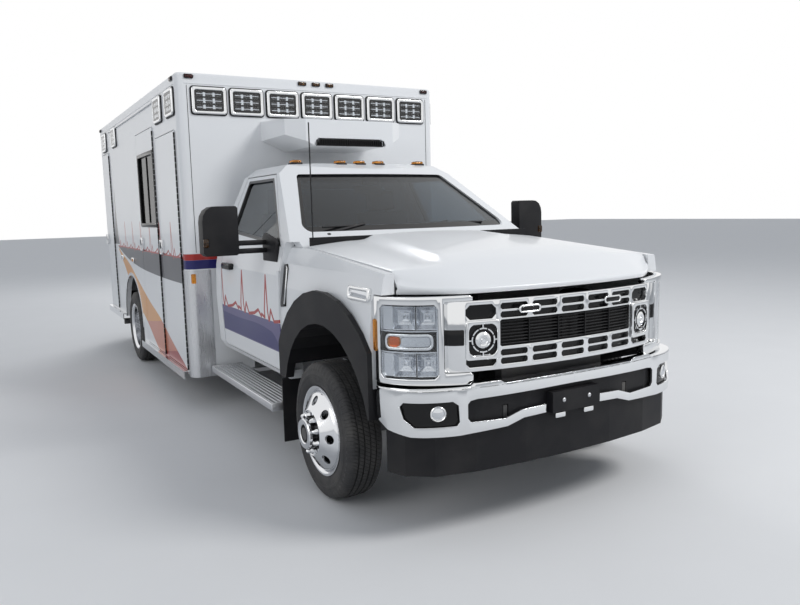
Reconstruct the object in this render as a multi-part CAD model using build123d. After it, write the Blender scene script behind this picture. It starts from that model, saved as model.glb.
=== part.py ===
from build123d import *
import math
import os

# Type I ambulance: cab-chassis truck with a square patient module.
# Millimetres. X points to the vehicle's left, Y to its rear, Z up from the ground.
# Stations along Y are written from the front axle, and every piece is moved by
# SHIFT_Y when it is saved, so the origin is at the middle of the footprint.

# Overall stations
WHEELBASE = 4910
FRONT_OVERHANG = 985
BOX_FRONT = 2290
BOX_LENGTH = 4318
BOX_WIDTH = 2438
BOX_TOP = 2800
STEP_DEPTH = 230
BOX_REAR = BOX_FRONT + BOX_LENGTH
BOX_HALF = BOX_WIDTH / 2
REAR_END = BOX_REAR + STEP_DEPTH
LENGTH = FRONT_OVERHANG + REAR_END
SHIFT_Y = FRONT_OVERHANG - LENGTH / 2

# Clearances
SEAT_GAP = 0.3
DOOR_GAP = 7
PIN_GAP = 0.5

# Wheels and axles
TYRE_R = 400
TYRE_W = 226
RIM_R = 262
RIM_W = 200
RIM_WALL = 10
BEAD_R = 240
BEAD_STEP = 10
FRONT_TRACK = 1900
REAR_TRACK = 1880
TWIN_PITCH = 336
KINGPIN_X = 790
KINGPIN_R = 22
SPINDLE_R = 36
HUB_R = 95
HUB_NOSE_R = 68
HUB_SIDES = 12
WHEEL_SIDES = 24
SIDEWALL_R = 320
SHOULDER_R = 392
SHOULDER_IN = 22
CROWN_IN = 55
BEAD_IN = 30
BEAD_LIP = 6
FLANGE_T = 14
HOLE_SIDES = 6
ROUND_SIDES = 12
PIPE_SIDES = 8
ARCH_SIDES = 32
LUG_R = 15
LUG_SIDES = 6
HAND_HOLES = 8
HAND_HOLE_R = 24
HAND_HOLE_RING = 163
DISC_R = 200
LUGS = 10
LUG_LENGTH = 28
LUG_RING = 112
DISC_T = 14
DISH_DEPTH = 90
HUB_CAP_T = 10

# Ladder frame
FRAME_WIDTH = 868
RAIL_TOP = 730
RAIL_HEIGHT = 200
RAIL_FLANGE = 72
RAIL_WALL = 10
RAIL_FRONT = -840
RAIL_REAR = BOX_REAR - 60
CROSS_STATIONS = (-700, 1150, 2500, 3900, 5380, 6300)
CROSS_LIFT = 60
CAB_PADS = (850, 2000)
CROSS_WIDTH = 90
CROSS_HEIGHT = 60
HOOK_LENGTH = 75
HOOK_HEIGHT = 60
HOOK_WIDTH = 24

# Patient module
WALL = 50
ROOF_T = 60
FLOOR_TOP = 810
FLOOR_T = 50
POST_R = 70
ROOF_EDGE = 15
SKIRT_FRONT = 300
SKIRT_REAR = 460
ARCH_R = 530
ARCH_Z = 460
WHEELHOUSE_X = 612
WHEELHOUSE_WALL = 25
WHEELHOUSE_TOP = 1030
WHEELHOUSE_HALF = 590
LINER_T = 12
CABINET_DEPTH = 430

# Cab
CAB_BACK = 2167
CAB_WALL = 60
CAB_DOOR_T = 80
CAB_FRONT = 685
CAB_SILL = 560
CAB_FLOOR = 745
SILL_IN = 870
SCREEN_BASE_Y = 490
SCREEN_BASE_Z = 1500
SCREEN_TOP_Y = 1270
SCREEN_TOP_Z = 1980
SCREEN_R = 5000
GLASS_T = 6
GLASS_INSET = 14
DOOR_FRONT = 700
DOOR_REAR = 2030
DOOR_BOTTOM = 600
DOOR_TOP = 1945
DOOR_WAIST = 1440
DOOR_FRAME_T = 34
DOOR_SEAL_LAP = 30
DOOR_REAR_GAP = 15
CAB_HINGE_R = 10
CAB_HINGE_HALF = 45

# Front end
HOOD_EDGE = 895
HOOD_T = 30
SEAM_GAP = 8
FENDER_T = 30
WHEEL_OPENING_R = 600
FLARE_R = 790
FLARE_T = 28
OPENING_Z = 420
LINER_X = 560
BUMPER_T = 28
BUMPER_SHELF = 110
BUMPER_TOP = 790
BAR_SHELF_T = 30
VALANCE_LOW = 340
VALANCE_T = 22
GRILLE_LOW = 853
GRILLE_HIGH = 1207
GRILLE_T = 34
GRILLE_HALF = 738
SLOT_W = 157
SLOT_H = 32
SLOT_PITCH = 187
BAND_LOW = 968
BAND_HIGH = 1104

# Warning lamps
LAMP_W = 285
LAMP_H = 215
LAMP_T = 24
LENS_T = 10
LAMP_RIM = 22
LAMP_PITCH = 319
LAMP_Z = 2582
LAMP_COUNT = 7


def block(x0, x1, y0, y1, z0, z1):
    return Pos((x0 + x1) / 2, (y0 + y1) / 2, (z0 + z1) / 2) * Box(x1 - x0, y1 - y0, z1 - z0)


def outline(points, radius=0, corner=0):
    if radius:
        return make_face(FilletPolyline(*points, radius=radius, close=True))
    face = make_face(Polyline(*points, close=True))
    return chamfer(face.vertices(), corner) if corner else face


def prism(axis, face, low, high):
    if axis == "x":
        return extrude(Plane.YZ.offset(low) * face, high - low)
    if axis == "y":
        return extrude(Plane.XZ.offset(-low) * face, low - high)
    return extrude(Plane.XY.offset(low) * face, high - low)


def rod(x, y, z, axis, radius, low, high, sides=0):
    face = RegularPolygon(radius, sides, rotation=180 / sides) if sides else Circle(radius)
    if axis == "x":
        return prism("x", Pos(y, z) * face, low, high)
    if axis == "y":
        return prism("y", Pos(x, z) * face, low, high)
    return prism("z", Pos(x, y) * face, low, high)


def twin(shape):
    return shape + mirror(shape, about=Plane.YZ)


def sided(shape, side):
    return shape if side > 0 else mirror(shape, about=Plane.YZ)


def mirrored_outline(half):
    return half + [(-x, z) for x, z in reversed(half)]


def turned(levels, sides):
    step = 2 * math.pi / sides
    corners = [((k + 0.5) * step, 1 / math.cos(step / 2)) for k in range(sides)]
    rings = [[Vector(x, r * reach * math.cos(turn), r * reach * math.sin(turn)) for turn, reach in corners]
             for x, r in levels]
    faces = [Face(Wire.make_polygon(rings[0])), Face(Wire.make_polygon(rings[-1]))]
    for near, far in zip(rings, rings[1:]):
        for k in range(sides):
            faces.append(Face(Wire.make_polygon([near[k - 1], near[k], far[k], far[k - 1]])))
    return Solid(Shell(faces))


def arch(z, radius, low, high):
    return Pos(0, 0, z) * turned([(low, radius), (high, radius)], ARCH_SIDES)


def save(name, shape):
    export_step(Pos(0, SHIFT_Y, 0) * shape, "parts/" + name + ".step")


os.makedirs("parts", exist_ok=True)
SIDES = (("left", 1), ("right", -1))

# Ladder frame: two channels, cross members, tow hooks and body pads
rail_out = FRAME_WIDTH / 2
rail_in = rail_out - RAIL_FLANGE
rail_low = RAIL_TOP - RAIL_HEIGHT
channel = outline([
    (rail_out, rail_low), (rail_out, RAIL_TOP), (rail_in, RAIL_TOP),
    (rail_in, RAIL_TOP - RAIL_WALL), (rail_out - RAIL_WALL, RAIL_TOP - RAIL_WALL),
    (rail_out - RAIL_WALL, rail_low + RAIL_WALL), (rail_in, rail_low + RAIL_WALL),
    (rail_in, rail_low),
])
frame_rails = twin(prism("y", channel, RAIL_FRONT, RAIL_REAR))
for station in CROSS_STATIONS:
    cross_x = rail_out - RAIL_WALL
    cross_low = rail_low + RAIL_WALL + CROSS_LIFT
    frame_rails += block(-cross_x, cross_x, station - CROSS_WIDTH / 2, station + CROSS_WIDTH / 2,
                         cross_low, cross_low + CROSS_HEIGHT)
hook_z = rail_low + RAIL_HEIGHT / 2
hook_x = rail_out - HOOK_WIDTH / 2
hook = block(hook_x - HOOK_WIDTH / 2, hook_x + HOOK_WIDTH / 2, RAIL_FRONT - HOOK_LENGTH,
             RAIL_FRONT, hook_z - HOOK_HEIGHT / 2, hook_z + HOOK_HEIGHT / 2)
eye_y = RAIL_FRONT - HOOK_LENGTH / 2
hook -= block(0, BOX_HALF, eye_y - HOOK_HEIGHT / 4, eye_y + HOOK_HEIGHT / 4,
              hook_z - HOOK_HEIGHT / 4, hook_z + HOOK_HEIGHT / 4)
frame_rails += twin(hook)
pad_top = FLOOR_TOP - FLOOR_T
for station in CROSS_STATIONS[2:]:
    frame_rails += twin(block(rail_in, rail_out, station - CROSS_WIDTH / 2,
                              station + CROSS_WIDTH / 2, RAIL_TOP, pad_top))

# Front axle: forged beam with kingpin eyes, coil springs and their perches
BEAM_HALF = 45
BEAM_LOW = 345
BEAM_HIGH = 435
BEAM_DROP = 60
EYE_R = 46
SPRING_X = 500
SPRING_R = 52
front_axle = prism("y", outline([
    (-KINGPIN_X, BEAM_LOW), (-460, BEAM_LOW), (-380, BEAM_LOW - BEAM_DROP),
    (380, BEAM_LOW - BEAM_DROP), (460, BEAM_LOW), (KINGPIN_X, BEAM_LOW),
    (KINGPIN_X, BEAM_HIGH), (460, BEAM_HIGH), (380, BEAM_HIGH - BEAM_DROP),
    (-380, BEAM_HIGH - BEAM_DROP), (-460, BEAM_HIGH), (-KINGPIN_X, BEAM_HIGH),
]), -BEAM_HALF, BEAM_HALF)
for side in (1, -1):
    front_axle += rod(side * KINGPIN_X, 0, 0, "z", EYE_R, BEAM_LOW, BEAM_HIGH, ROUND_SIDES)
    front_axle -= rod(side * KINGPIN_X, 0, 0, "z", KINGPIN_R + PIN_GAP, BEAM_LOW, BEAM_HIGH)
perch_low = rail_low + RAIL_HEIGHT / 2
front_axle += twin(rod(SPRING_X, 0, 0, "z", SPRING_R, BEAM_HIGH, perch_low, ROUND_SIDES))
front_axle += twin(block(rail_out, SPRING_X + SPRING_R, -SPRING_R, SPRING_R, perch_low, perch_low + 40))
save("front_axle", front_axle)

# Knuckles: a fork round the beam eye, the kingpin and the wheel spindle
FORK_T = 26
FORK_GAP = 6
fork_low = BEAM_LOW - FORK_GAP
fork_high = BEAM_HIGH + FORK_GAP
wheel_x = FRONT_TRACK / 2
web_in = KINGPIN_X + EYE_R + FORK_GAP
web_out = web_in + 20
SPINDLE_OUT = 205
for name, side in SIDES:
    knuckle = rod(KINGPIN_X, 0, 0, "z", EYE_R - FORK_GAP, fork_high, fork_high + FORK_T, ROUND_SIDES)
    knuckle += rod(KINGPIN_X, 0, 0, "z", EYE_R - FORK_GAP, fork_low - FORK_T, fork_low, ROUND_SIDES)
    knuckle += rod(KINGPIN_X, 0, 0, "z", KINGPIN_R, fork_low - FORK_T, fork_high + FORK_T)
    knuckle += block(KINGPIN_X, web_out, -35, 35, fork_high, fork_high + FORK_T)
    knuckle += block(KINGPIN_X, web_out, -35, 35, fork_low - FORK_T, fork_low)
    knuckle += block(web_in, web_out, -60, 60, fork_low - FORK_T, fork_high + FORK_T)
    knuckle += rod(0, 0, TYRE_R, "x", SPINDLE_R, web_out, wheel_x + SPINDLE_OUT, ROUND_SIDES)
    save("knuckle_" + name, sided(knuckle, side))

# Rear axle: housing, spindles and leaf springs on frame hangers
AXLE_TUBE_R = 62
DIFF_R = 190
DIFF_HALF = 130
DIFF_SHOULDER = 40
TUBE_INSET = 210
SPRING_PACK_X = 520
LEAF_W = 76
LEAF_T = 14
LEAVES = ((700, 0), (520, 1), (340, 2))
rear_spindle_x = REAR_TRACK / 2 + 145
tube_x = REAR_TRACK / 2 - TUBE_INSET
rear_axle = rod(0, WHEELBASE, TYRE_R, "x", AXLE_TUBE_R, -tube_x, tube_x, ROUND_SIDES)
bowl_side = [(DIFF_HALF / 2, DIFF_R), (DIFF_HALF, DIFF_R - DIFF_SHOULDER)]
bowl = [(-x, r) for x, r in reversed(bowl_side)] + bowl_side
rear_axle += Pos(0, WHEELBASE, TYRE_R) * turned(bowl, ROUND_SIDES)
rear_axle += rod(0, WHEELBASE, TYRE_R, "x", SPINDLE_R, -rear_spindle_x, rear_spindle_x, ROUND_SIDES)
leaf_low = TYRE_R + AXLE_TUBE_R
for side in (1, -1):
    spring_x = side * SPRING_PACK_X
    rear_axle += block(spring_x - LEAF_W / 2, spring_x + LEAF_W / 2, WHEELBASE - 60, WHEELBASE + 60,
                       TYRE_R, leaf_low)
    for half, level in LEAVES:
        z = leaf_low + (2 - level) * LEAF_T
        rise = 60 * (half / 700) ** 2
        leaf = prism("x", outline([
            (WHEELBASE - half, z + rise), (WHEELBASE - 60, z), (WHEELBASE + 60, z),
            (WHEELBASE + half, z + rise), (WHEELBASE + half, z + rise + LEAF_T),
            (WHEELBASE + 60, z + LEAF_T), (WHEELBASE - 60, z + LEAF_T),
            (WHEELBASE - half, z + rise + LEAF_T),
        ]), spring_x - LEAF_W / 2, spring_x + LEAF_W / 2)
        rear_axle += leaf
    for y in (WHEELBASE - LEAVES[0][0], WHEELBASE + LEAVES[0][0]):
        inner = min(side * rail_out, spring_x + side * LEAF_W / 2)
        outer = max(side * rail_out, spring_x + side * LEAF_W / 2)
        rear_axle += block(inner, outer, y - 25, y + 25, leaf_low + 60, RAIL_TOP - 60)
save("rear_axle", rear_axle)

# Powertrain: engine block, gearbox, driveshaft, radiator and exhaust line
SHAFT_R = 42
EXHAUST_R = 38
MUFFLER_R = 95
MUFFLER_SPAN = (2750, 3600)
EXHAUST_X = -260
OVER_AXLE_Z = 620
TAILPIPE_Z = 355
powertrain = block(-300, 300, -520, 380, 600, 1180)
powertrain += twin(block(300, rail_out - RAIL_WALL, -90, 10, 640, 690))
powertrain += prism("x", outline([(380, 470), (380, 860), (640, 738), (1050, 620), (1050, 470)]), -170, 170)
shaft_start = Vector(0, 1050, 540)
shaft_end = Vector(0, WHEELBASE - DIFF_R, TYRE_R + 20)
shaft_way = shaft_end - shaft_start
shaft_face = Plane(shaft_start, z_dir=shaft_way) * RegularPolygon(SHAFT_R, PIPE_SIDES)
powertrain += extrude(shaft_face, shaft_way.length - 1)
radiator = block(-355, 355, -800, -745, 640, 1180)
exhaust_z = 470
exhaust_path = Polyline(
    (EXHAUST_X, 340, 640), (EXHAUST_X, 900, exhaust_z), (EXHAUST_X, 4350, exhaust_z),
    (EXHAUST_X, 4650, OVER_AXLE_Z), (EXHAUST_X, 5150, OVER_AXLE_Z), (EXHAUST_X, 5480, 380), (-900, 5740, TAILPIPE_Z),
    (-BOX_HALF + 10, 5760, TAILPIPE_Z))
exhaust_start = Plane(exhaust_path @ 0, z_dir=exhaust_path % 0)
exhaust_face = exhaust_start * RegularPolygon(EXHAUST_R, PIPE_SIDES)
exhaust = sweep(exhaust_face, path=exhaust_path, transition=Transition.RIGHT)
exhaust += rod(EXHAUST_X, 0, exhaust_z, "y", MUFFLER_R, *MUFFLER_SPAN, ROUND_SIDES)
save("powertrain", powertrain + radiator + exhaust)

# Fuel tank between the rails behind the axle
TANK_HALF = 340
tank = prism("y", outline([
    (-TANK_HALF, 440), (TANK_HALF, 440), (TANK_HALF, 640), (-TANK_HALF, 640)], corner=24), 5560, 6200)
for station in (5700, 6060):
    tank += block(-TANK_HALF - 6, TANK_HALF + 6, station - 20, station + 20, 634, 646)
    tank += block(TANK_HALF, rail_out - RAIL_WALL, station - 20, station + 20, 634, 646)
    tank += block(-rail_out + RAIL_WALL, -TANK_HALF, station - 20, station + 20, 634, 646)
save("fuel_tank", tank)


# Wheels: tyre and pressed steel rim with hand holes, hub and lug nuts, all in flat facets
def tyre(center_x, y):
    half = TYRE_W / 2
    bead = half - BEAD_IN
    side = [(bead, BEAD_R + BEAD_STEP + BEAD_LIP), (half, SIDEWALL_R), (half - SHOULDER_IN, SHOULDER_R),
            (half - CROWN_IN, TYRE_R)]
    body = turned([(-x, r) for x, r in side] + [(x, r) for x, r in reversed(side)], WHEEL_SIDES)
    bore = BEAD_R + BEAD_STEP + SEAT_GAP
    body -= turned([(-half, bore), (half, bore)], WHEEL_SIDES)
    return Pos(center_x, y, TYRE_R) * body


def rim(center_x, y, face_x, nose):
    half = RIM_W / 2
    barrel = turned([(-half, RIM_R), (-half + FLANGE_T, BEAD_R + BEAD_STEP),
                     (half - FLANGE_T, BEAD_R + BEAD_STEP), (half, RIM_R)], WHEEL_SIDES)
    inner = RIM_R - FLANGE_T
    barrel -= turned([(-half - 1, inner), (-half + FLANGE_T, BEAD_R - RIM_WALL),
                      (half - FLANGE_T, BEAD_R - RIM_WALL), (half + 1, inner)], WHEEL_SIDES)
    base_x = face_x - nose * DISH_DEPTH
    dish = turned([(base_x, BEAD_R - RIM_WALL / 2), (face_x, DISC_R)], WHEEL_SIDES)
    back_x = face_x - nose * DISC_T
    dish -= turned([(base_x - nose, BEAD_R - RIM_WALL / 2 - DISC_T), (back_x, DISC_R - DISC_T)], WHEEL_SIDES)
    for i in range(HAND_HOLES):
        angle = 2 * math.pi * i / HAND_HOLES
        hole_y = HAND_HOLE_RING * math.cos(angle)
        hole_z = HAND_HOLE_RING * math.sin(angle)
        dish -= rod(0, hole_y, hole_z, "x", HAND_HOLE_R, face_x - 3 * DISC_T, face_x + 3 * DISC_T, HOLE_SIDES)
    eye_r = HUB_NOSE_R - DISC_T
    dish -= turned([(face_x - DISH_DEPTH, eye_r), (face_x + DISH_DEPTH, eye_r)], HUB_SIDES)
    return Pos(center_x, y, TYRE_R) * barrel + Pos(0, y, TYRE_R) * dish


def hub(y, low, high, face_x):
    body = turned([(low, HUB_R), (high, HUB_NOSE_R)], HUB_SIDES)
    body -= rod(0, 0, 0, "x", SPINDLE_R + PIN_GAP, low - 1, high - HUB_CAP_T)
    for i in range(LUGS):
        angle = 2 * math.pi * (i + 0.5) / LUGS
        nut_y = LUG_RING * math.cos(angle)
        nut_z = LUG_RING * math.sin(angle)
        body += rod(0, nut_y, nut_z, "x", LUG_R, face_x, face_x + LUG_LENGTH, LUG_SIDES)
    return Pos(0, y, TYRE_R) * body


for name, side in SIDES:
    save("front_tyre_" + name, sided(tyre(wheel_x, 0), side))
    front_face = wheel_x + TWIN_PITCH / 2
    front_rim = rim(wheel_x, 0, front_face, 1) + hub(0, wheel_x + 40, wheel_x + 220, front_face - 2)
    save("front_rim_" + name, sided(front_rim, side))
    rear_x = REAR_TRACK / 2
    outer_x = rear_x + TWIN_PITCH / 2
    inner_x = rear_x - TWIN_PITCH / 2
    save("rear_tyres_" + name, sided(tyre(outer_x, WHEELBASE) + tyre(inner_x, WHEELBASE), side))
    pair = rim(inner_x, WHEELBASE, rear_x, 1) + rim(outer_x, WHEELBASE, rear_x, -1)
    pair += hub(WHEELBASE, rear_x - 60, rear_x + 160, rear_x + DISC_T - 2)
    save("rear_rims_" + name, sided(pair, side))

# Cab body: a side profile crossed with a section, rounded by a large windscreen cylinder
CAB_SIDE = [
    (CAB_FRONT, CAB_SILL), (CAB_FRONT, 1380), (SCREEN_BASE_Y, 1380), (SCREEN_BASE_Y, SCREEN_BASE_Z),
    (SCREEN_TOP_Y, SCREEN_TOP_Z), (1480, 2030), (1900, 2036), (2110, 2010),
    (CAB_BACK, 1500), (CAB_BACK, CAB_SILL),
]
CAB_SECTION = [
    (960, CAB_SILL), (1000, 620), (1016, 1000), (1005, 1250), (965, 1440), (740, 1945), (640, 2015), (320, 2034),
]


def inset_face(points, inset, radius=0):
    face = outline(points, radius)
    if inset:
        face = offset(face, amount=-inset, kind=Kind.INTERSECTION)
    return face


def cab_section(inset):
    return prism("y", inset_face(mirrored_outline(CAB_SECTION), inset), 0, BOX_FRONT)


def cab_body(inset):
    side = prism("x", inset_face(CAB_SIDE, inset), -BOX_HALF, BOX_HALF)
    section = cab_section(inset)
    rake = Vector(0, SCREEN_TOP_Y - SCREEN_BASE_Y, SCREEN_TOP_Z - SCREEN_BASE_Z).normalized()
    normal = Vector(0, -rake.Z, rake.Y)
    base = Vector(0, SCREEN_BASE_Y, SCREEN_BASE_Z)
    center = base - normal * SCREEN_R - rake * 4000
    drum = extrude(Plane(center, x_dir=(1, 0, 0), z_dir=rake) * Circle(SCREEN_R - inset), 8000)
    return side & section & drum


cab_full = cab_body(0)
cab_deck = CAB_FLOOR + CAB_WALL
cab_room = cab_body(CAB_WALL) & block(-BOX_HALF, BOX_HALF, 0, BOX_FRONT, cab_deck, BOX_TOP)
cab_outer = cab_full - block(-SILL_IN, SILL_IN, 0, BOX_FRONT, 0, CAB_FLOOR)
cab_outer -= twin(block(HOOD_EDGE, BOX_HALF, 0, CAB_FRONT, 0, 1470))
cab_ring = cab_outer - cab_room
upper = block(-BOX_HALF, BOX_HALF, 0, BOX_FRONT, DOOR_WAIST, BOX_TOP)
lower = block(-BOX_HALF, BOX_HALF, 0, BOX_FRONT, 0, DOOR_WAIST)
below = block(-SILL_IN, SILL_IN, 0, BOX_FRONT, 0, CAB_FLOOR)
door_core = (cab_section(CAB_DOOR_T) & lower) + (cab_section(DOOR_FRAME_T) & upper) + below
gap_core = (cab_section(CAB_DOOR_T + DOOR_GAP) & lower) + (cab_section(DOOR_FRAME_T + DOOR_GAP) & upper)
door_ring = cab_full - door_core
glass_ring = cab_body(GLASS_INSET) - cab_body(GLASS_INSET + GLASS_T)

DOOR_CUT = [
    (DOOR_FRONT, DOOR_BOTTOM), (DOOR_FRONT, 1400), (735, 1435), (1370, DOOR_TOP),
    (DOOR_REAR, DOOR_TOP), (DOOR_REAR, DOOR_BOTTOM),
]
WINDOW_CUT = [(815, 1462), (1900, 1530), (1930, 1893), (1390, 1893)]
SCREEN_CUT = [(840, 1528), (625, 1935)]
REAR_GLASS_HALF = 560

door_hole = prism("x", outline(DOOR_CUT), 580, BOX_HALF)
door_leaf = prism("x", inset_face(DOOR_CUT, DOOR_GAP), 580, BOX_HALF)
door_leaf &= block(0, BOX_HALF, 0, DOOR_REAR - DOOR_REAR_GAP, 0, BOX_TOP)
window_hole = prism("x", outline(WINDOW_CUT, radius=30), 580, BOX_HALF)
window_pane = prism("x", inset_face(WINDOW_CUT, -8), 580, BOX_HALF)
screen_hole = prism("y", outline(mirrored_outline(SCREEN_CUT), radius=40), 200, 1600)
rear_hole = block(-REAR_GLASS_HALF, REAR_GLASS_HALF, 1950, BOX_FRONT, 1520, 1850)

door_way = prism("x", inset_face(DOOR_CUT, DOOR_SEAL_LAP), 580, BOX_HALF) - cab_section(CAB_WALL)
door_cut = door_hole - gap_core + door_way
hinge_x = 1010
cab_hinges = None
for z, sides in ((760, 0), (1240, ROUND_SIDES)):
    hinge = rod(hinge_x, DOOR_FRONT, 0, "z", CAB_HINGE_R, z - CAB_HINGE_HALF, z + CAB_HINGE_HALF, sides)
    cab_hinges = hinge if cab_hinges is None else cab_hinges + hinge
cab_shell = cab_ring - twin(door_cut) - screen_hole - rear_hole
cab_shell -= twin(rod(hinge_x, DOOR_FRONT, 0, "z", CAB_HINGE_R + SEAT_GAP, DOOR_BOTTOM, 1400))
save("cab_shell", cab_shell)
cab_glass = glass_ring & prism("y", inset_face(mirrored_outline(SCREEN_CUT), SEAT_GAP, 40), 200, 1600)
rear_pane = block(-REAR_GLASS_HALF + SEAT_GAP, REAR_GLASS_HALF - SEAT_GAP, 1950, BOX_FRONT,
                  1520 + SEAT_GAP, 1850 - SEAT_GAP)
cab_glass += glass_ring & rear_pane
save("cab_glass", cab_glass)

# Cab doors with their windows cut, glass set in a rebate, handle and mirror
HANDLE_Y = 1800
HANDLE_Z = 1255
for name, side in SIDES:
    leaf = door_ring & door_leaf
    pane = glass_ring & window_pane
    rebate = (cab_body(GLASS_INSET - SEAT_GAP) - cab_body(GLASS_INSET + GLASS_T + SEAT_GAP)) & \
        prism("x", inset_face(WINDOW_CUT, -8 - SEAT_GAP), 580, BOX_HALF)
    leaf = leaf - window_hole - rebate + cab_hinges
    leaf += block(1000, 1036, HANDLE_Y - 90, HANDLE_Y + 90, HANDLE_Z - 18, HANDLE_Z + 18)
    save("cab_door_" + name, sided(leaf, side))
    save("door_glass_" + name, sided(pane, side))
    head = prism("y", outline([(1175, 1385), (1420, 1385), (1420, 1710), (1190, 1710)], corner=20), 940, 1050)
    mirror_unit = head + block(975, 1200, 950, 1000, 1395, 1425) + block(985, 1010, 900, 1000, 1330, 1425)
    save("mirror_" + name, sided(mirror_unit - cab_outer, side))

# Cab interior: dashboard, steering wheel, console and seats
dash_front = CAB_FRONT + CAB_WALL
DASH_LOW = 1120
DASH_TOP = 1425
DASH_REAR = 960
DASH_HALF = 850
CONSOLE_HALF = 140
CONSOLE_REAR = 1500
CONSOLE_TOP = 1020
dash_side = [(dash_front, DASH_LOW), (dash_front, DASH_TOP), (840, DASH_TOP), (DASH_REAR, 1340), (DASH_REAR, DASH_LOW)]
dash = prism("x", outline(dash_side), -DASH_HALF, DASH_HALF)
dash += block(-CONSOLE_HALF, CONSOLE_HALF, DASH_REAR, CONSOLE_REAR, cab_deck, CONSOLE_TOP)
dash += block(-CONSOLE_HALF, CONSOLE_HALF, DASH_REAR - 60, DASH_REAR, cab_deck, DASH_LOW)
WHEEL_POINT = (430, 1130, 1290)
STEER_R = 204
STEER_SIDES = 16
STEER_RIM = 26
STEER_LEAN = 62
STEER_HUB_R = 60
COLUMN_R = 34
COLUMN_LENGTH = 260
ring = RegularPolygon(STEER_R, STEER_SIDES) - RegularPolygon(STEER_R - STEER_RIM, STEER_SIDES)
ring = extrude(ring, STEER_RIM / 2, both=True)
ring += extrude(RegularPolygon(STEER_HUB_R, PIPE_SIDES), STEER_RIM, both=True)
ring += Box(2 * STEER_R - STEER_RIM, 40, STEER_RIM / 2)
dash += Pos(*WHEEL_POINT) * Rot(-STEER_LEAN, 0, 0) * ring
column_way = Vector(0, -math.sin(math.radians(STEER_LEAN)), -math.cos(math.radians(STEER_LEAN)))
column_face = Plane(Vector(*WHEEL_POINT), z_dir=column_way) * RegularPolygon(COLUMN_R, PIPE_SIDES)
dash += extrude(column_face, COLUMN_LENGTH)
save("dashboard", dash)
SEAT_X = 430
CUSHION_HALF = 250
BACK_HALF = 240
REST_HALF = 130
BASE_HALF = 200
CUSHION = [(1200, 960), (1200, 1075), (1700, 1060), (1700, 940)]
SEAT_BACK = [(1710, 960), (1850, 960), (1980, 1640), (1880, 1650)]
HEAD_REST = [(1890, 1649.3), (1980, 1640.3), (2010, 1830), (1920, 1835)]
SEAT_BASE = [(1260, cab_deck), (1260, 957.3), (1660, 941.3), (1660, 900), (1760, 900), (1760, 959.7), (1830, 959.7),
             (1830, cab_deck)]
BENCH = (-1130, -640, 4330, 5840)
BENCH_SEAT = 1250
BENCH_TOP = 1330
cushions = block(*BENCH, BENCH_SEAT, BENCH_TOP)
for x in (-SEAT_X, SEAT_X):
    cushions += prism("x", outline(CUSHION, corner=24), x - CUSHION_HALF, x + CUSHION_HALF)
    cushions += prism("x", outline(SEAT_BACK, corner=20), x - BACK_HALF, x + BACK_HALF)
    cushions += prism("x", outline(HEAD_REST, corner=15), x - REST_HALF, x + REST_HALF)
    cushions += prism("x", outline(SEAT_BASE), x - BASE_HALF, x + BASE_HALF)
save("seats", cushions)

# Hood: crowned skin over the engine, folded down at its front
HOOD_REAR = 468
HOOD_PIN_Y = 458
HOOD_PIN_Z = 1486
HOOD_PIN_R = 5
HOOD_ARM_R = 10
HOOD_ARM_X = 300
HOOD_ARM_T = 14
HOOD_NOTCH = 30
COWL_FRONT = 480
HOOD_SIDE = [(-900, 1100), (-900, 1240), (-860, 1290), (-650, 1405), (560, 1505), (560, 1100)]
CROWN_EDGE = 1358
CROWN_TOP = 1408
hood_plan = make_face(
    Polyline((HOOD_EDGE, -600), (HOOD_EDGE, 600), (-HOOD_EDGE, 600), (-HOOD_EDGE, -600), (-660, -790))
    + ThreePointArc((-660, -790), (0, -890), (660, -790))
    + Line((660, -790), (HOOD_EDGE, -600)))


def hood_body(inset):
    side = prism("x", inset_face(HOOD_SIDE, inset), -BOX_HALF, BOX_HALF)
    half = HOOD_EDGE - inset
    edge = CROWN_EDGE - inset
    crown = make_face(
        Polyline((half, edge), (half, 900), (-half, 900), (-half, edge))
        + ThreePointArc((-half, edge), (0, CROWN_TOP - inset), (half, edge)))
    slope = Vector(0, 1210, 100).normalized()
    crown = extrude(Plane.XZ.offset(650) * crown, 1300, dir=slope)
    nose = extrude(Plane.XZ.offset(650) * make_face(
        Polyline((HOOD_EDGE, CROWN_EDGE), (HOOD_EDGE, 900), (-HOOD_EDGE, 900), (-HOOD_EDGE, CROWN_EDGE))
        + ThreePointArc((-HOOD_EDGE, CROWN_EDGE), (0, CROWN_TOP), (HOOD_EDGE, CROWN_EDGE))), 400)
    plan = prism("z", hood_plan if inset == 0 else offset(hood_plan, amount=-inset, kind=Kind.INTERSECTION),
                 900, BOX_TOP)
    return side & (crown + nose) & plan


hood = hood_body(0) - hood_body(HOOD_T)
hood &= block(-HOOD_EDGE, HOOD_EDGE, -1000, HOOD_REAR, 1235, BOX_TOP)
notch_in = HOOD_ARM_X - HOOD_NOTCH / 2
notch_out = HOOD_ARM_X + HOOD_NOTCH / 2
hood -= twin(block(notch_in, notch_out, HOOD_PIN_Y - HOOD_ARM_R - 6, COWL_FRONT, 1400, BOX_TOP))
hood += twin(rod(0, HOOD_PIN_Y, HOOD_PIN_Z, "x", HOOD_PIN_R, notch_in - HOOD_PIN_R, notch_out + HOOD_PIN_R))
save("hood", hood)

# Fenders: crossed profile shells beside the hood, with round wheel openings
BEZEL_BACK = -570
FENDER_SIDE = [(-650, 600), (-650, 1345), (-150, 1388), (620, 1455), (700, 1455), (700, 600)]
FENDER_SECTION = [(1000, 550), (1008, 1000), (990, 1180), (962, 1330), (HOOD_EDGE + 20, 1430), (500, 1500)]


def fender_body(inset):
    side = prism("x", inset_face(FENDER_SIDE, inset), -BOX_HALF, BOX_HALF)
    section = prism("y", inset_face(mirrored_outline(FENDER_SECTION), inset), -800, 800)
    return side & section


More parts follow.
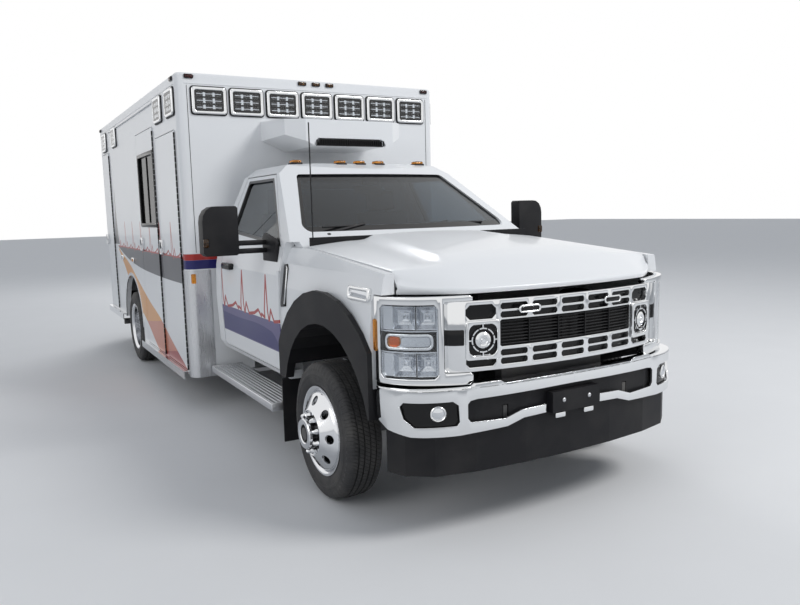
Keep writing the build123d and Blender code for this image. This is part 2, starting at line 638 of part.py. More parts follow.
fender = fender_body(0) - fender_body(FENDER_T)
fender -= block(0, HOOD_EDGE + SEAM_GAP, -1000, 1000, 0, BOX_TOP)
fender -= arch(OPENING_Z, WHEEL_OPENING_R + 60, 0, BOX_HALF)
fender -= block(0, BOX_HALF, -1000, BEZEL_BACK + SEAT_GAP, 0, 1242)
fender -= block(0, BOX_HALF, 540, 1000, 0, DOOR_BOTTOM)
fender &= block(0, BOX_HALF, -700, CAB_FRONT - SEAT_GAP, 0, BOX_TOP)
save("fenders", twin(fender))

# Flares and wheelhouse liners, with the mud flap behind the front wheel
flare = arch(OPENING_Z, FLARE_R, 1008 + SEAT_GAP, 1008 + FLARE_T)
flare += arch(OPENING_Z, WHEEL_OPENING_R + 60 - SEAT_GAP, 980, 1008 + SEAT_GAP)
flare -= arch(OPENING_Z, WHEEL_OPENING_R, 0, BOX_HALF)
flare &= block(0, BOX_HALF, -590, 680, 600, BOX_TOP)
liner = arch(OPENING_Z, WHEEL_OPENING_R + 15, LINER_X, 980)
liner -= arch(OPENING_Z, WHEEL_OPENING_R, LINER_X + 10, 980)
liner &= block(0, BOX_HALF, -535, 535, 620, BOX_TOP)
front_flap = block(780, 1000, 742, 752, 120, CAB_SILL)
rear_flap = block(690, BOX_HALF - WALL - 5, 5480, 5490, 140, pad_top)
save("wheel_guards", twin(flare + liner) + twin(front_flap) + twin(rear_flap))

# Front bumper: chrome face bar bent round the corners with openings
BUMPER_LINE = [(1000, -560), (1000, -650), (950, -780), (820, -878), (600, -928), (300, -957), (0, -965)]
BUMPER_PLAN_FACE = outline(BUMPER_LINE + [(-x, y) for x, y in reversed(BUMPER_LINE[:-1])])
BAR_FACE = [(330, 590), (430, 560), (700, 547), (930, 555), (1010, 600), (1010, 775), (600, 784), (590, 802),
            (470, 802), (445, 786)]
BAR_OPENING = [(190, 560), (190, 636), (340, 630), (440, 602), (640, 608), (655, 628), (655, 700), (640, 716)]
LAMP_OPENING = [(700, 615), (715, 598), (900, 598), (930, 640), (945, 700), (930, 722), (725, 722), (700, 700)]


def front_plan(inset):
    if inset:
        return offset(BUMPER_PLAN_FACE, amount=-inset, kind=Kind.INTERSECTION)
    return BUMPER_PLAN_FACE


bumper_skin = prism("z", front_plan(0), 0, BOX_TOP)
bumper_skin -= prism("z", front_plan(BUMPER_T), 0, BUMPER_TOP - BAR_SHELF_T)
bumper_skin &= prism("y", outline(mirrored_outline(BAR_FACE)), -1000, -620)
bumper_skin -= prism("z", front_plan(BUMPER_SHELF), 0, BOX_TOP)
bumper_skin -= prism("y", outline(mirrored_outline(BAR_OPENING)), -1100, -860)
bumper_skin -= twin(prism("y", outline(LAMP_OPENING), -1100, -700))
save("front_bumper", bumper_skin)
back_plan = front_plan(BUMPER_T + SEAT_GAP)
valance = prism("z", back_plan, VALANCE_LOW, BUMPER_TOP - BAR_SHELF_T - SEAT_GAP)
valance -= prism("z", front_plan(BUMPER_T + VALANCE_T), VALANCE_LOW + VALANCE_T, BOX_TOP)
valance &= block(-1000, 1000, -1000, -650, 0, BOX_TOP)
valance -= twin(block(hook_x - HOOK_WIDTH / 2 - 5, hook_x + HOOK_WIDTH / 2 + 5, -1000, -700,
                      hook_z - HOOK_HEIGHT / 2 - 5, hook_z + HOOK_HEIGHT / 2 + 5))
PLATE_HOLES = 177.8
bracket = block(-165, 165, -FRONT_OVERHANG, -915, 590, 700)
valance += bracket
valance -= twin(rod(PLATE_HOLES / 2, 0, 652, "y", 3.5, -FRONT_OVERHANG, -800))
save("bumper_valance", valance)

horn = block(rail_in, rail_out, -FRONT_OVERHANG, RAIL_FRONT, RAIL_TOP - 40, RAIL_TOP)
horn &= prism("z", front_plan(BUMPER_T + VALANCE_T + SEAT_GAP), 0, BOX_TOP)
cab_pads = None
for station in CAB_PADS:
    pad = block(rail_in, rail_out, station - CROSS_WIDTH / 2, station + CROSS_WIDTH / 2, RAIL_TOP, CAB_FLOOR)
    cab_pads = pad if cab_pads is None else cab_pads + pad
save("frame_rails", frame_rails + twin(horn) + twin(cab_pads))

# Grille: bowed chrome lattice with two slotted bands
GRILLE_LINE = [(GRILLE_HALF, -745), (GRILLE_HALF, -800), (665, -868), (560, -900), (280, -942), (0, -955)]
GRILLE_PLAN = outline(GRILLE_LINE + [(-x, y) for x, y in reversed(GRILLE_LINE[:-1])])
SIREN_T = 10
SIREN_BACK = -850
SIREN_X = (461, 642)
SIREN_Z = (911, 1109)
SIREN_R = 76
SPEAKER_R = 58


def grille_plan(inset):
    if inset:
        return offset(GRILLE_PLAN, amount=-inset, kind=Kind.INTERSECTION)
    return GRILLE_PLAN


lattice = prism("z", grille_plan(0), GRILLE_LOW, GRILLE_HIGH)
lattice -= prism("z", grille_plan(GRILLE_T), GRILLE_LOW - 1, GRILLE_HIGH + 1)
lattice -= block(-BOX_HALF, BOX_HALF, -785, -700, 0, BOX_TOP)
SLOT_ROWS = (893, 936, 1128, 1171)
for z in SLOT_ROWS:
    for i in range(-2, 3):
        x = i * SLOT_PITCH
        lattice -= prism("y", outline([(x - SLOT_W / 2, z - SLOT_H / 2), (x + SLOT_W / 2, z - SLOT_H / 2),
                                       (x + SLOT_W / 2, z + SLOT_H / 2), (x - SLOT_W / 2, z + SLOT_H / 2)],
                                      corner=SLOT_H / 4), -1000, -800)
lattice -= block(-455, 455, -1000, -800, BAND_LOW, BAND_HIGH)
for z0, z1 in ((877, 927), (1113, 1184)):
    lattice -= twin(block(480, 640, -1000, -700, z0, z1))
siren_x = sum(SIREN_X) / 2
siren_z = sum(SIREN_Z) / 2
siren_box = block(*SIREN_X, -1000, SIREN_BACK, *SIREN_Z)
siren_seat = prism("z", grille_plan(SIREN_T / 2), *SIREN_Z)
siren = (prism("z", grille_plan(-SIREN_T), *SIREN_Z) - siren_seat) & siren_box
siren -= rod(siren_x, 0, siren_z, "y", SIREN_R, -1000, -700, PIPE_SIDES)
speaker = rod(siren_x, 0, siren_z, "y", SPEAKER_R, -1000, SIREN_BACK, PIPE_SIDES)
siren += (prism("z", grille_plan(-SIREN_T / 2), *SIREN_Z) - siren_seat) & speaker
save("grille", lattice + twin(siren))
BACKING_T = 20
backing = prism("z", grille_plan(GRILLE_T + SEAT_GAP), GRILLE_LOW, GRILLE_HIGH)
backing -= prism("z", grille_plan(GRILLE_T + BACKING_T), 0, BOX_TOP)
backing -= block(-BOX_HALF, BOX_HALF, -805, -700, 0, BOX_TOP)
backing += block(-450, 450, -930, -880, BAND_LOW + 5, BAND_HIGH - 5) & prism("z", grille_plan(8), 0, BOX_TOP)
save("grille_backing", backing)

# Headlamp bezels: a body round the lamp with arms above and below the grille corner
BEZEL_LOW = BUMPER_TOP + 5
BEZEL_HIGH = 1235
BEZEL_PLAN = [(600, -888), (662, -876), (870, -775), (982, -640), (982, BEZEL_BACK), (900, -590), (700, -790),
              (600, -830)]
LENS_PLAN = [(752, -826), (868, -768), (962, -655), (940, -600), (900, -600), (752, -760)]
LENS_LOW = 825
LENS_HIGH = 1200
bezel = prism("z", outline(BEZEL_PLAN), BEZEL_LOW, BEZEL_HIGH)
bezel -= block(0, GRILLE_HALF + SEAT_GAP, -1000, -500, GRILLE_LOW - SEAT_GAP, GRILLE_HIGH + SEAT_GAP)
bezel -= prism("z", outline(LENS_PLAN), LENS_LOW, LENS_HIGH)
save("headlamp_bezels", twin(bezel))
lens = prism("z", inset_face(LENS_PLAN, SEAT_GAP), LENS_LOW + SEAT_GAP, LENS_HIGH - SEAT_GAP)
save("headlamp_lenses", twin(lens))

# Cowl strip, wipers and aerial
cowl = block(-870, 870, COWL_FRONT, SCREEN_BASE_Y - SEAT_GAP, 1400, 1498)
arm_in = HOOD_ARM_X - HOOD_ARM_T / 2
arm_out = HOOD_ARM_X + HOOD_ARM_T / 2
hood_arm = rod(0, HOOD_PIN_Y, HOOD_PIN_Z, "x", HOOD_ARM_R, arm_in, arm_out, ROUND_SIDES)
arm_low = HOOD_PIN_Z - HOOD_ARM_R + 1
hood_arm += block(arm_in, arm_out, HOOD_PIN_Y, COWL_FRONT + 1, arm_low, arm_low + 2 * HOOD_ARM_R - 2)
hood_arm -= rod(0, HOOD_PIN_Y, HOOD_PIN_Z, "x", HOOD_PIN_R + PIN_GAP, arm_in, arm_out)
cowl += twin(hood_arm)
cowl += rod(-850, 478, 0, "z", 4, 1480, 2209, HOLE_SIDES)
save("cowl", cowl)

# Running boards under the cab doors
BOARD_IN = 800
BOARD_OUT = 1060
BOARD_LOW = 330
BOARD_TOP = 378
BOARD_SPAN = (790, 2250)
BRACKET_W = 60
BRACKET_T = 12
bracket_low = BOARD_LOW + 10
board = block(BOARD_IN, BOARD_OUT, *BOARD_SPAN, BOARD_LOW, BOARD_TOP)
for station in (930, 2030):
    y0 = station - BRACKET_W / 2
    y1 = station + BRACKET_W / 2
    board += block(rail_out, BOARD_IN, y0, y1, bracket_low, BOARD_TOP - 8)
    board += block(rail_out, rail_out + BRACKET_T, y0, y1, bracket_low, rail_low + BRACKET_W)
save("running_boards", twin(board))

# Module doors: side, name, y0, y1, z0, z1, hinge edge
SIDE_DOORS = (
    (-1, "curb_front_door", 2420, 3200, 330, 2360),
    (-1, "side_entry_door", 3290, 4150, 330, 2480),
    (-1, "curb_rear_door", 5950, 6500, 500, 2450),
    (1, "street_front_door", 2420, 3200, 330, 2360),
    (1, "street_mid_door", 3290, 4280, 330, 1500),
    (1, "street_rear_door", 5640, 6500, 500, 2360),
)
REAR_DOOR_HALF = 760
REAR_DOOR_LOW = 790
REAR_DOOR_HIGH = 2420
SIDE_WINDOW = (3350, 4080, 1570, 2250)
REAR_WINDOW = (130, 620, 1560, 2160)
HANDLE_PROUD = 28
HANDLE_MID = 1370
HANDLE_HALF = 60
HINGE_LEAF = 40
HINGE_LEAF_T = 3
PANE_IN = 20
PANE_OUT = 12
HINGE_R = 6
HINGE_OUT = HINGE_R + SEAT_GAP
inner_half = BOX_HALF - WALL

module_outer = block(-BOX_HALF, BOX_HALF, BOX_FRONT, BOX_REAR, SKIRT_FRONT, BOX_TOP)
module_outer = fillet(module_outer.edges().filter_by(Axis.Z), POST_R)

# Side walls with their door openings and wheel arches
for side, wall_name in ((-1, "module_curb_wall"), (1, "module_street_wall")):
    wall = sided(block(inner_half, BOX_HALF, BOX_FRONT, BOX_REAR, SKIRT_FRONT, BOX_TOP - ROOF_T), side)
    wall = wall & module_outer
    arch_y = WHEELBASE
    wall -= Pos(0, arch_y, 0) * arch(ARCH_Z, ARCH_R, -BOX_HALF - 10, BOX_HALF + 10)
    wall -= block(-BOX_HALF, BOX_HALF, arch_y - ARCH_R, arch_y + ARCH_R, 0, ARCH_Z)
    wall -= block(-BOX_HALF, BOX_HALF, arch_y, BOX_REAR, 0, SKIRT_REAR)
    for door_side, door, y0, y1, z0, z1 in SIDE_DOORS:
        if door_side == side:
            wall -= block(-BOX_HALF - 10, BOX_HALF + 10, y0, y1, z0, z1)
    save(wall_name, wall)

# Front and rear walls, open below the floor between the compartments
front_wall = block(-inner_half, inner_half, BOX_FRONT, BOX_FRONT + WALL, SKIRT_FRONT, BOX_TOP - ROOF_T)
front_wall -= block(-680, 680, BOX_FRONT - 10, BOX_FRONT + WALL + 10, 0, FLOOR_TOP - FLOOR_T)
save("module_front_wall", front_wall & module_outer)
rear_wall = block(-inner_half, inner_half, BOX_REAR - WALL, BOX_REAR, SKIRT_REAR, BOX_TOP - ROOF_T)
rear_wall -= block(-REAR_DOOR_HALF, REAR_DOOR_HALF, BOX_REAR - WALL - 10, BOX_REAR + 10, REAR_DOOR_LOW,
                   REAR_DOOR_HIGH)
rear_wall -= block(-680, 680, BOX_REAR - WALL - 10, BOX_REAR + 10, 0, FLOOR_TOP - FLOOR_T)
REAR_PLATE_X = -920
REAR_PLATE_Z = 650
for x in (REAR_PLATE_X - PLATE_HOLES / 2, REAR_PLATE_X + PLATE_HOLES / 2):
    rear_wall -= rod(x, 0, REAR_PLATE_Z, "y", 3.5, BOX_REAR - WALL, BOX_REAR)
save("module_rear_wall", rear_wall & module_outer)
roof = block(-BOX_HALF, BOX_HALF, BOX_FRONT, BOX_REAR, BOX_TOP - ROOF_T, BOX_TOP) & module_outer
roof = chamfer(roof.faces().sort_by(Axis.Z)[-1].edges(), ROOF_EDGE)
save("module_roof", roof)

# Floor with wheelhouses; compartments pass down through it
compartments = []
for side, door, y0, y1, z0, z1 in SIDE_DOORS:
    if door != "side_entry_door":
        compartments.append((side, y0 - LINER_T, y1 + LINER_T, z0 + 20, z1 + LINER_T))
floor = block(-inner_half, inner_half, BOX_FRONT + WALL, BOX_REAR - WALL, FLOOR_TOP - FLOOR_T, FLOOR_TOP)
for side, y0, y1, z0, z1 in compartments:
    floor -= sided(block(inner_half - CABINET_DEPTH - LINER_T, inner_half, y0, y1, 0, BOX_TOP), side)
well_in = inner_half - 330
floor -= block(-inner_half, -well_in, SIDE_DOORS[1][2], SIDE_DOORS[1][3], 0, BOX_TOP)
house = block(WHEELHOUSE_X, inner_half, WHEELBASE - WHEELHOUSE_HALF, WHEELBASE + WHEELHOUSE_HALF,
              FLOOR_TOP - FLOOR_T, WHEELHOUSE_TOP)
hollow = block(WHEELHOUSE_X + WHEELHOUSE_WALL, BOX_HALF, WHEELBASE - WHEELHOUSE_HALF + WHEELHOUSE_WALL,
               WHEELBASE + WHEELHOUSE_HALF - WHEELHOUSE_WALL, 0, WHEELHOUSE_TOP - WHEELHOUSE_WALL)
floor = floor + twin(house) - twin(hollow)
save("module_floor", floor)

# Compartment liners, step well and bench base
cabinets = None
for side, y0, y1, z0, z1 in compartments:
    x0 = inner_half - CABINET_DEPTH - LINER_T
    tub = block(x0, inner_half, y0, y1, z0, z1)
    tub -= block(x0 + LINER_T, BOX_HALF, y0 + LINER_T, y1 - LINER_T, z0 + LINER_T, z1 - LINER_T)
    tub = sided(tub, side)
    cabinets = tub if cabinets is None else cabinets + tub
step_y0 = SIDE_DOORS[1][2]
step_y1 = SIDE_DOORS[1][3]
well = block(-inner_half, -well_in, step_y0, step_y1, 380, 400)
well += block(-well_in - 12, -well_in, step_y0, step_y1, 400, FLOOR_TOP)
cabinets += well
bench = block(*BENCH, WHEELHOUSE_TOP + SEAT_GAP, BENCH_SEAT - SEAT_GAP)
cabinets += bench
save("module_cabinets", cabinets)


def side_leaf(y0, y1, z0, z1):
    leaf = block(inner_half, BOX_HALF, y0 + DOOR_GAP, y1 - DOOR_GAP, z0 + DOOR_GAP, z1 - DOOR_GAP)
    leaf += rod(BOX_HALF + HINGE_OUT, y0, 0, "z", HINGE_R, z0 + DOOR_GAP, z1 - DOOR_GAP)
    leaf += block(BOX_HALF, BOX_HALF + HINGE_LEAF_T, y0, y0 + HINGE_LEAF, z0 + DOOR_GAP, z1 - DOOR_GAP)
    leaf += block(BOX_HALF, BOX_HALF + HANDLE_PROUD, y1 - 110, y1 - 40, HANDLE_MID - HANDLE_HALF,
                  HANDLE_MID + HANDLE_HALF)
    return leaf


for side, door, y0, y1, z0, z1 in SIDE_DOORS:
    leaf = side_leaf(y0, y1, z0, z1)
    if door == "side_entry_door":
        wy0, wy1, wz0, wz1 = SIDE_WINDOW
        leaf -= block(0, BOX_HALF + 100, wy0, wy1, wz0, wz1)
        pane = block(BOX_HALF - PANE_IN, BOX_HALF - PANE_OUT, wy0 + SEAT_GAP, wy1 - SEAT_GAP, wz0 + SEAT_GAP,
                     wz1 - SEAT_GAP)
        save("side_entry_glass", sided(pane, side))
    save(door, sided(leaf, side))

for name, side in SIDES:
    leaf = block(DOOR_GAP / 2, REAR_DOOR_HALF - DOOR_GAP, BOX_REAR - WALL, BOX_REAR,
                 REAR_DOOR_LOW + DOOR_GAP, REAR_DOOR_HIGH - DOOR_GAP)
    wx0, wx1, wz0, wz1 = REAR_WINDOW
    leaf -= block(wx0, wx1, 0, LENGTH, wz0, wz1)
    leaf += block(60, 110, BOX_REAR, BOX_REAR + HANDLE_PROUD, HANDLE_MID - HANDLE_HALF, HANDLE_MID + HANDLE_HALF)
    leaf += rod(REAR_DOOR_HALF, BOX_REAR + HINGE_OUT, 0, "z", HINGE_R, REAR_DOOR_LOW + DOOR_GAP,
                REAR_DOOR_HIGH - DOOR_GAP)
    leaf += block(REAR_DOOR_HALF - HINGE_LEAF, REAR_DOOR_HALF, BOX_REAR, BOX_REAR + HINGE_LEAF_T,
                  REAR_DOOR_LOW + DOOR_GAP, REAR_DOOR_HIGH - DOOR_GAP)
    pane = block(wx0 + SEAT_GAP, wx1 - SEAT_GAP, BOX_REAR - PANE_IN, BOX_REAR - PANE_OUT, wz0 + SEAT_GAP,
                 wz1 - SEAT_GAP)
    save("rear_door_" + name, sided(leaf, side))
    save("rear_glass_" + name, sided(pane, side))

# Outside trim: rub rails, drip rails, front stone guards and arch rings
RING_W = 30
RING_T = 6
RAIL_PROUD = 38
RAIL_T = 8
RAIL_LAP = 45
RAIL_TALL = 70
arch_ring = arch(ARCH_Z, ARCH_R + RING_W, BOX_HALF, BOX_HALF + RING_T)
arch_ring -= arch(ARCH_Z, ARCH_R - 4, BOX_HALF - 10, BOX_HALF + 10)
arch_ring = Pos(0, WHEELBASE, 0) * arch_ring & block(0, 2000, 0, LENGTH, SKIRT_REAR, BOX_TOP)
trim = twin(arch_ring)
for y0, y1, skirt in ((2450, WHEELBASE - ARCH_R - RING_W, SKIRT_FRONT),
                      (WHEELBASE + ARCH_R + 2 * RING_W, BOX_REAR - 20, SKIRT_REAR)):
    rail_base = skirt - RAIL_LAP
    rail = block(BOX_HALF, BOX_HALF + RAIL_PROUD, y0, y1, rail_base, rail_base + RAIL_TALL)
    rail -= block(0, BOX_HALF + RAIL_PROUD - RAIL_T, 0, LENGTH, 0, rail_base + RAIL_TALL - RAIL_T)
    trim += twin(rail)
save("module_trim", trim)

# Condenser housing over the cab
CONDENSER_HALF = 520
CONDENSER_NOSE = 1620
CONDENSER_LOW = 2180
CONDENSER_SIDE = [(CONDENSER_NOSE, CONDENSER_LOW), (CONDENSER_NOSE, 2385), (BOX_FRONT, 2430),
                  (BOX_FRONT, CONDENSER_LOW)]
CONDENSER_PLAN = [(390, CONDENSER_NOSE), (CONDENSER_HALF, 1740), (CONDENSER_HALF, BOX_FRONT)]
CONDENSER_FRONT = [(310, CONDENSER_LOW), (CONDENSER_HALF, 2270), (CONDENSER_HALF, 2600)]
condenser = prism("x", outline(CONDENSER_SIDE), -CONDENSER_HALF, CONDENSER_HALF)
condenser &= prism("z", outline(mirrored_outline(CONDENSER_PLAN)), CONDENSER_LOW, BOX_TOP)
condenser &= prism("y", outline(mirrored_outline(CONDENSER_FRONT)), CONDENSER_NOSE, BOX_FRONT)
grille_slot = [(320, 2175), (320, 2205), (285, 2240)]
condenser -= prism("y", outline(mirrored_outline(grille_slot)), CONDENSER_NOSE, CONDENSER_NOSE + 30)
save("condenser", condenser)


# Warning lamps: bezel frames and clear lenses, by face, place and count
def lamp(along, height):
    body = block(along - LAMP_W / 2, along + LAMP_W / 2, 0, LAMP_T, height - LAMP_H / 2, height + LAMP_H / 2)
    pocket = block(along - LAMP_W / 2 + LAMP_RIM, along + LAMP_W / 2 - LAMP_RIM, LAMP_T - LENS_T, LAMP_T + 5,
                   height - LAMP_H / 2 + LAMP_RIM, height + LAMP_H / 2 - LAMP_RIM)
    glass = block(along - LAMP_W / 2 + LAMP_RIM + SEAT_GAP, along + LAMP_W / 2 - LAMP_RIM - SEAT_GAP,
                  LAMP_T - LENS_T, LAMP_T - 2, height - LAMP_H / 2 + LAMP_RIM + SEAT_GAP,
                  height + LAMP_H / 2 - LAMP_RIM - SEAT_GAP)
    return body - pocket, glass


bezels = None
lenses = None
placements = []
for i in range(LAMP_COUNT):
    x = (i - (LAMP_COUNT - 1) / 2) * LAMP_PITCH
    placements.append(Pos(x, BOX_FRONT, 0) * Rot(0, 0, 180))
for side in (-1, 1):
    for y in (2505, 2975, 5450, 6190):
        placements.append(Pos(side * BOX_HALF, y, 0) * Rot(0, 0, -90 * side))
for x in (-980, -620, 620, 980):
    placements.append(Pos(x, BOX_REAR, 0))
for place in placements:
    frame, glass = lamp(0, LAMP_Z)
    frame = place * frame
    glass = place * glass
    bezels = frame if bezels is None else bezels + frame
    lenses = glass if lenses is None else lenses + glass
save("warning_bezels", bezels)
save("warning_lenses", lenses)

# Small marker lamps
markers = None
for x in (-543, -170, 0, 170, 543):
    lamp_piece = block(x - 40, x + 40, 1450, 1530, 2020, 2052) - cab_outer
    markers = lamp_piece if markers is None else markers + lamp_piece
for x in (-1112, -130, 0, 130, 1112):
    markers += block(x - 35, x + 35, BOX_FRONT - 18, BOX_FRONT, 2755, 2785)
for x in (-1030, 1030):
    for z in (1000, 1150, 1300):
        markers += block(x - 70, x + 70, BOX_REAR, BOX_REAR + 22, z - 55, z + 55)
save("marker_lamps", markers)

# Rear step bumper with its grip deck
step = block(-1000, 1000, BOX_REAR, REAR_END, 440, 500)
step += twin(block(rail_out - RAIL_WALL - 40, rail_out - RAIL_WALL, RAIL_REAR - 200, BOX_REAR + 10, 560, 700))
step += twin(block(rail_out - RAIL_WALL - 40, rail_out - RAIL_WALL, BOX_REAR, BOX_REAR + 40, 500, 700))
save("rear_step", step)
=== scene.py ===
# %% [markdown]
# # Ambulance on a cab-chassis truck
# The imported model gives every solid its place. This scene keeps the solids that have the right shape, gives
# them finishes, and adds the trim that a welded and bolted vehicle shows up close. All of it could be
# modelled freely by eye, but then nothing would meet the solids, so every piece is placed in their frame.
# All lengths are metres; X is the vehicle's left, Y its rear and Z up from the ground.

# %% Load the frame
import math
import bpy
from mathutils import Matrix, Vector


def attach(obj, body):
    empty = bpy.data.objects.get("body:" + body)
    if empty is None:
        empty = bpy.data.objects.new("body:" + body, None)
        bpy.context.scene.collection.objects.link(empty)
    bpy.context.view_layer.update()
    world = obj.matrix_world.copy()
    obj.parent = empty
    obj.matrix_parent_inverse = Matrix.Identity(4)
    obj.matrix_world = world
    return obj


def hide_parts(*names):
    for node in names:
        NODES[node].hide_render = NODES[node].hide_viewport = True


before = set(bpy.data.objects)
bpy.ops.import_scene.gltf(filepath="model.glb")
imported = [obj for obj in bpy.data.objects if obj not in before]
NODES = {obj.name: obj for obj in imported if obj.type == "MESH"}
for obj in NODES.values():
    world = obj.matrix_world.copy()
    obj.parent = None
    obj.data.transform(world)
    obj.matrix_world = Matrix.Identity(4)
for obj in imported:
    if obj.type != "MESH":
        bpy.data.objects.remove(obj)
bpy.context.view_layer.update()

# %% [markdown]
# The camera stands where the photograph was taken, to the right of the front corner at eye height. A Track
# To constraint could aim it, but would leave out the slight roll. So its turn is built from three
# directions: where it looks, what is right of it and what is above it.

# %% Camera
STATION = -2.9265


def at(x, station, z):
    """A point by its distance behind the front axle."""
    return Vector((x, station + STATION, z))


yaw, pitch, roll = (math.radians(a) for a in (29.681, -7.326, -1.412))
ahead = Vector((math.sin(yaw) * math.cos(pitch), math.cos(yaw) * math.cos(pitch), math.sin(pitch)))
level = Vector((math.cos(yaw), -math.sin(yaw), 0))
above = level.cross(ahead)
right = level * math.cos(roll) + above * math.sin(roll)
top = above * math.cos(roll) - level * math.sin(roll)
camera_data = bpy.data.cameras.new("camera")
camera_data.lens = 32.52
camera_data.sensor_width = 36
camera = bpy.data.objects.new("camera", camera_data)
bpy.context.scene.collection.objects.link(camera)
turn = Matrix((right, top, -ahead)).transposed().to_4x4()
camera.matrix_world = Matrix.Translation(at(-2.648, -3.766, 1.660)) @ turn
bpy.context.scene.camera = camera
print("camera at", [round(v, 3) for v in camera.matrix_world.translation])

# %% [markdown]
# A plain studio stands in for the open air. A picture of a sky could light the vehicle, but it would tint
# the white paint. So the world gives a level light, while the eye, metal and glass see plain white in its
# place.

# %% Studio world
bpy.context.scene.view_settings.view_transform = "Standard"
LEVEL_LIGHT = 0.46
world = bpy.data.worlds.new("studio")
bpy.context.scene.world = world
world.use_nodes = True
sky = world.node_tree
sky.nodes.clear()


def background(color, strength):
    node = sky.nodes.new("ShaderNodeBackground")
    node.inputs["Color"].default_value = (*color, 1)
    node.inputs["Strength"].default_value = strength
    return node.outputs[0]


def either(a, b):
    """1 for a ray that is of one kind or the other."""
    node = sky.nodes.new("ShaderNodeMath")
    node.operation = "MAXIMUM"
    sky.links.new(a, node.inputs[0])
    sky.links.new(b, node.inputs[1])
    return node.outputs[0]


rays = sky.nodes.new("ShaderNodeLightPath").outputs
looking = either(either(rays["Is Camera Ray"], rays["Is Glossy Ray"]), rays["Is Transmission Ray"])
mix = sky.nodes.new("ShaderNodeMixShader")
sky.links.new(looking, mix.inputs[0])
sky.links.new(background((0.80, 0.86, 0.95), LEVEL_LIGHT), mix.inputs[1])
sky.links.new(background((1, 1, 1), 1.0), mix.inputs[2])
sky.links.new(mix.outputs[0], sky.nodes.new("ShaderNodeOutputWorld").inputs[0])
print("the world lights at", LEVEL_LIGHT, "and shows as white")

# %% [markdown]
# A sun lamp would cut hard shadows and put one small glint on every bright edge. Large discs of light wrap
# round the body as softboxes do: a key from the front, a weak fill on the curb side, and one from behind
# for the far edges.

# %% Soft lamps
def soft_lamp(name, place, target, size, power):
    data = bpy.data.lights.new(name, "AREA")
    data.shape = "DISK"
    data.size = size
    data.energy = power
    lamp = bpy.data.objects.new(name, data)
    bpy.context.scene.collection.objects.link(lamp)
    lamp.location = place
    lamp.rotation_euler = (Vector(target) - Vector(place)).to_track_quat("-Z", "Y").to_euler()
    print(name, power, "watts")


soft_lamp("key_lamp", (5.5, -9.0, 9.0), (0, -1.5, 1.2), 4.0, 620)
soft_lamp("fill_lamp", (-9.0, -5.0, 6.0), (0, 0, 1.2), 6.0, 150)
soft_lamp("back_lamp", (3.0, 9.0, 8.0), (0, 2.0, 1.5), 5.0, 260)

# %% [markdown]
# Every finish is a small tree of nodes. Wiring each by hand takes a dozen lines that all look alike, so one
# helper does it: it adds a node, sets what is given by name and links what is given as a socket.

# %% Recipe helper
MATERIALS = {}


class Recipe:
    """A node material in the making."""

    def __init__(self, name, **settings):
        self.material = bpy.data.materials.new(name)
        self.material.use_nodes = True
        self.tree = self.material.node_tree
        self.shader = self.tree.nodes["Principled BSDF"]
        self.place = self.add("TexCoord").outputs["Object"]
        self.set(self.shader, settings)
        MATERIALS[name] = self.material
        print("finish", name)

    def set(self, node, values):
        for key, value in values.items():
            socket = node.inputs[key if isinstance(key, int) else key.replace("_", " ")]
            if isinstance(value, bpy.types.NodeSocket):
                self.tree.links.new(value, socket)
            elif isinstance(value, tuple) and len(value) == 3 and socket.type == "RGBA":
                socket.default_value = (*value, 1)
            else:
                socket.default_value = value

    def add(self, kind, inputs=None, **attributes):
        node = self.tree.nodes.new("ShaderNode" + kind)
        for key, value in attributes.items():
            setattr(node, key, value)
        self.set(node, inputs or {})
        return node

    def math(self, operation, a, b=0.0, c=0.0):
        return self.add("Math", {0: a, 1: b, 2: c}, operation=operation).outputs[0]

    def plus(self, a, b):
        return self.math("ADD", a, b)

    def less(self, a, b):
        return self.math("SUBTRACT", a, b)

    def times(self, a, b):
        return self.math("MULTIPLY", a, b)

    def size(self, a):
        return self.math("ABSOLUTE", a)

    def noise(self, scale, detail=4.0, vector=None):
        inputs = {"Vector": vector or self.place, "Scale": scale, "Detail": detail}
        return self.add("TexNoise", inputs).outputs["Fac"]

    def spread(self, value, low, high, to_low=0.0, to_high=1.0):
        inputs = {"Value": value, "From_Min": low, "From_Max": high, "To_Min": to_low, "To_Max": to_high}
        return self.add("MapRange", inputs).outputs["Result"]

    def blend(self, factor, a, b):
        node = self.add("Mix", data_type="RGBA")
        self.set(node, {0: factor, 6: a, 7: b})
        return node.outputs[2]

    def bump(self, height, strength, distance):
        node = self.add("Bump", {"Height": height, "Strength": strength, "Distance": distance})
        self.set(self.shader, {"Normal": node.outputs["Normal"]})

    def axes(self):
        return tuple(self.add("SeparateXYZ", {0: self.place}).outputs)

# %% [markdown]
# White coachwork paint is a colour coat under clear lacquer. A flat white shader looks like plastic, so a
# thin coat layer gives the second, sharper reflection, and a trace of road dust greys it low down.

# %% White paint
PAINT_WHITE = (0.84, 0.85, 0.86)
ROAD_DUST = (0.42, 0.40, 0.37)


def body_paint(name):
    r = Recipe(name, Metallic=0.0, Coat_Weight=0.22, Coat_Roughness=0.05, Specular_IOR_Level=0.38)
    height = r.axes()[2]
    dust = r.times(r.spread(height, 0.75, 0.3), r.spread(r.noise(1.6, 2.0), 0.3, 0.7))
    shade = r.blend(r.times(dust, 0.12), PAINT_WHITE, ROAD_DUST)
    r.set(r.shader, {"Base_Color": shade, "Roughness": r.spread(r.noise(3.0, 2.0), 0.3, 0.7, 0.29, 0.31)})
    return r


body_paint("white_paint")

# %% [markdown]
# The bright metals differ less in colour than in grain: chrome is nearly a mirror, polished rims have
# turned rings, and mill-finish aluminium and stainless guards have long brushed scratches. One recipe with
# a stretched noise makes them all, where an anisotropic shader would need a tangent on every piece.

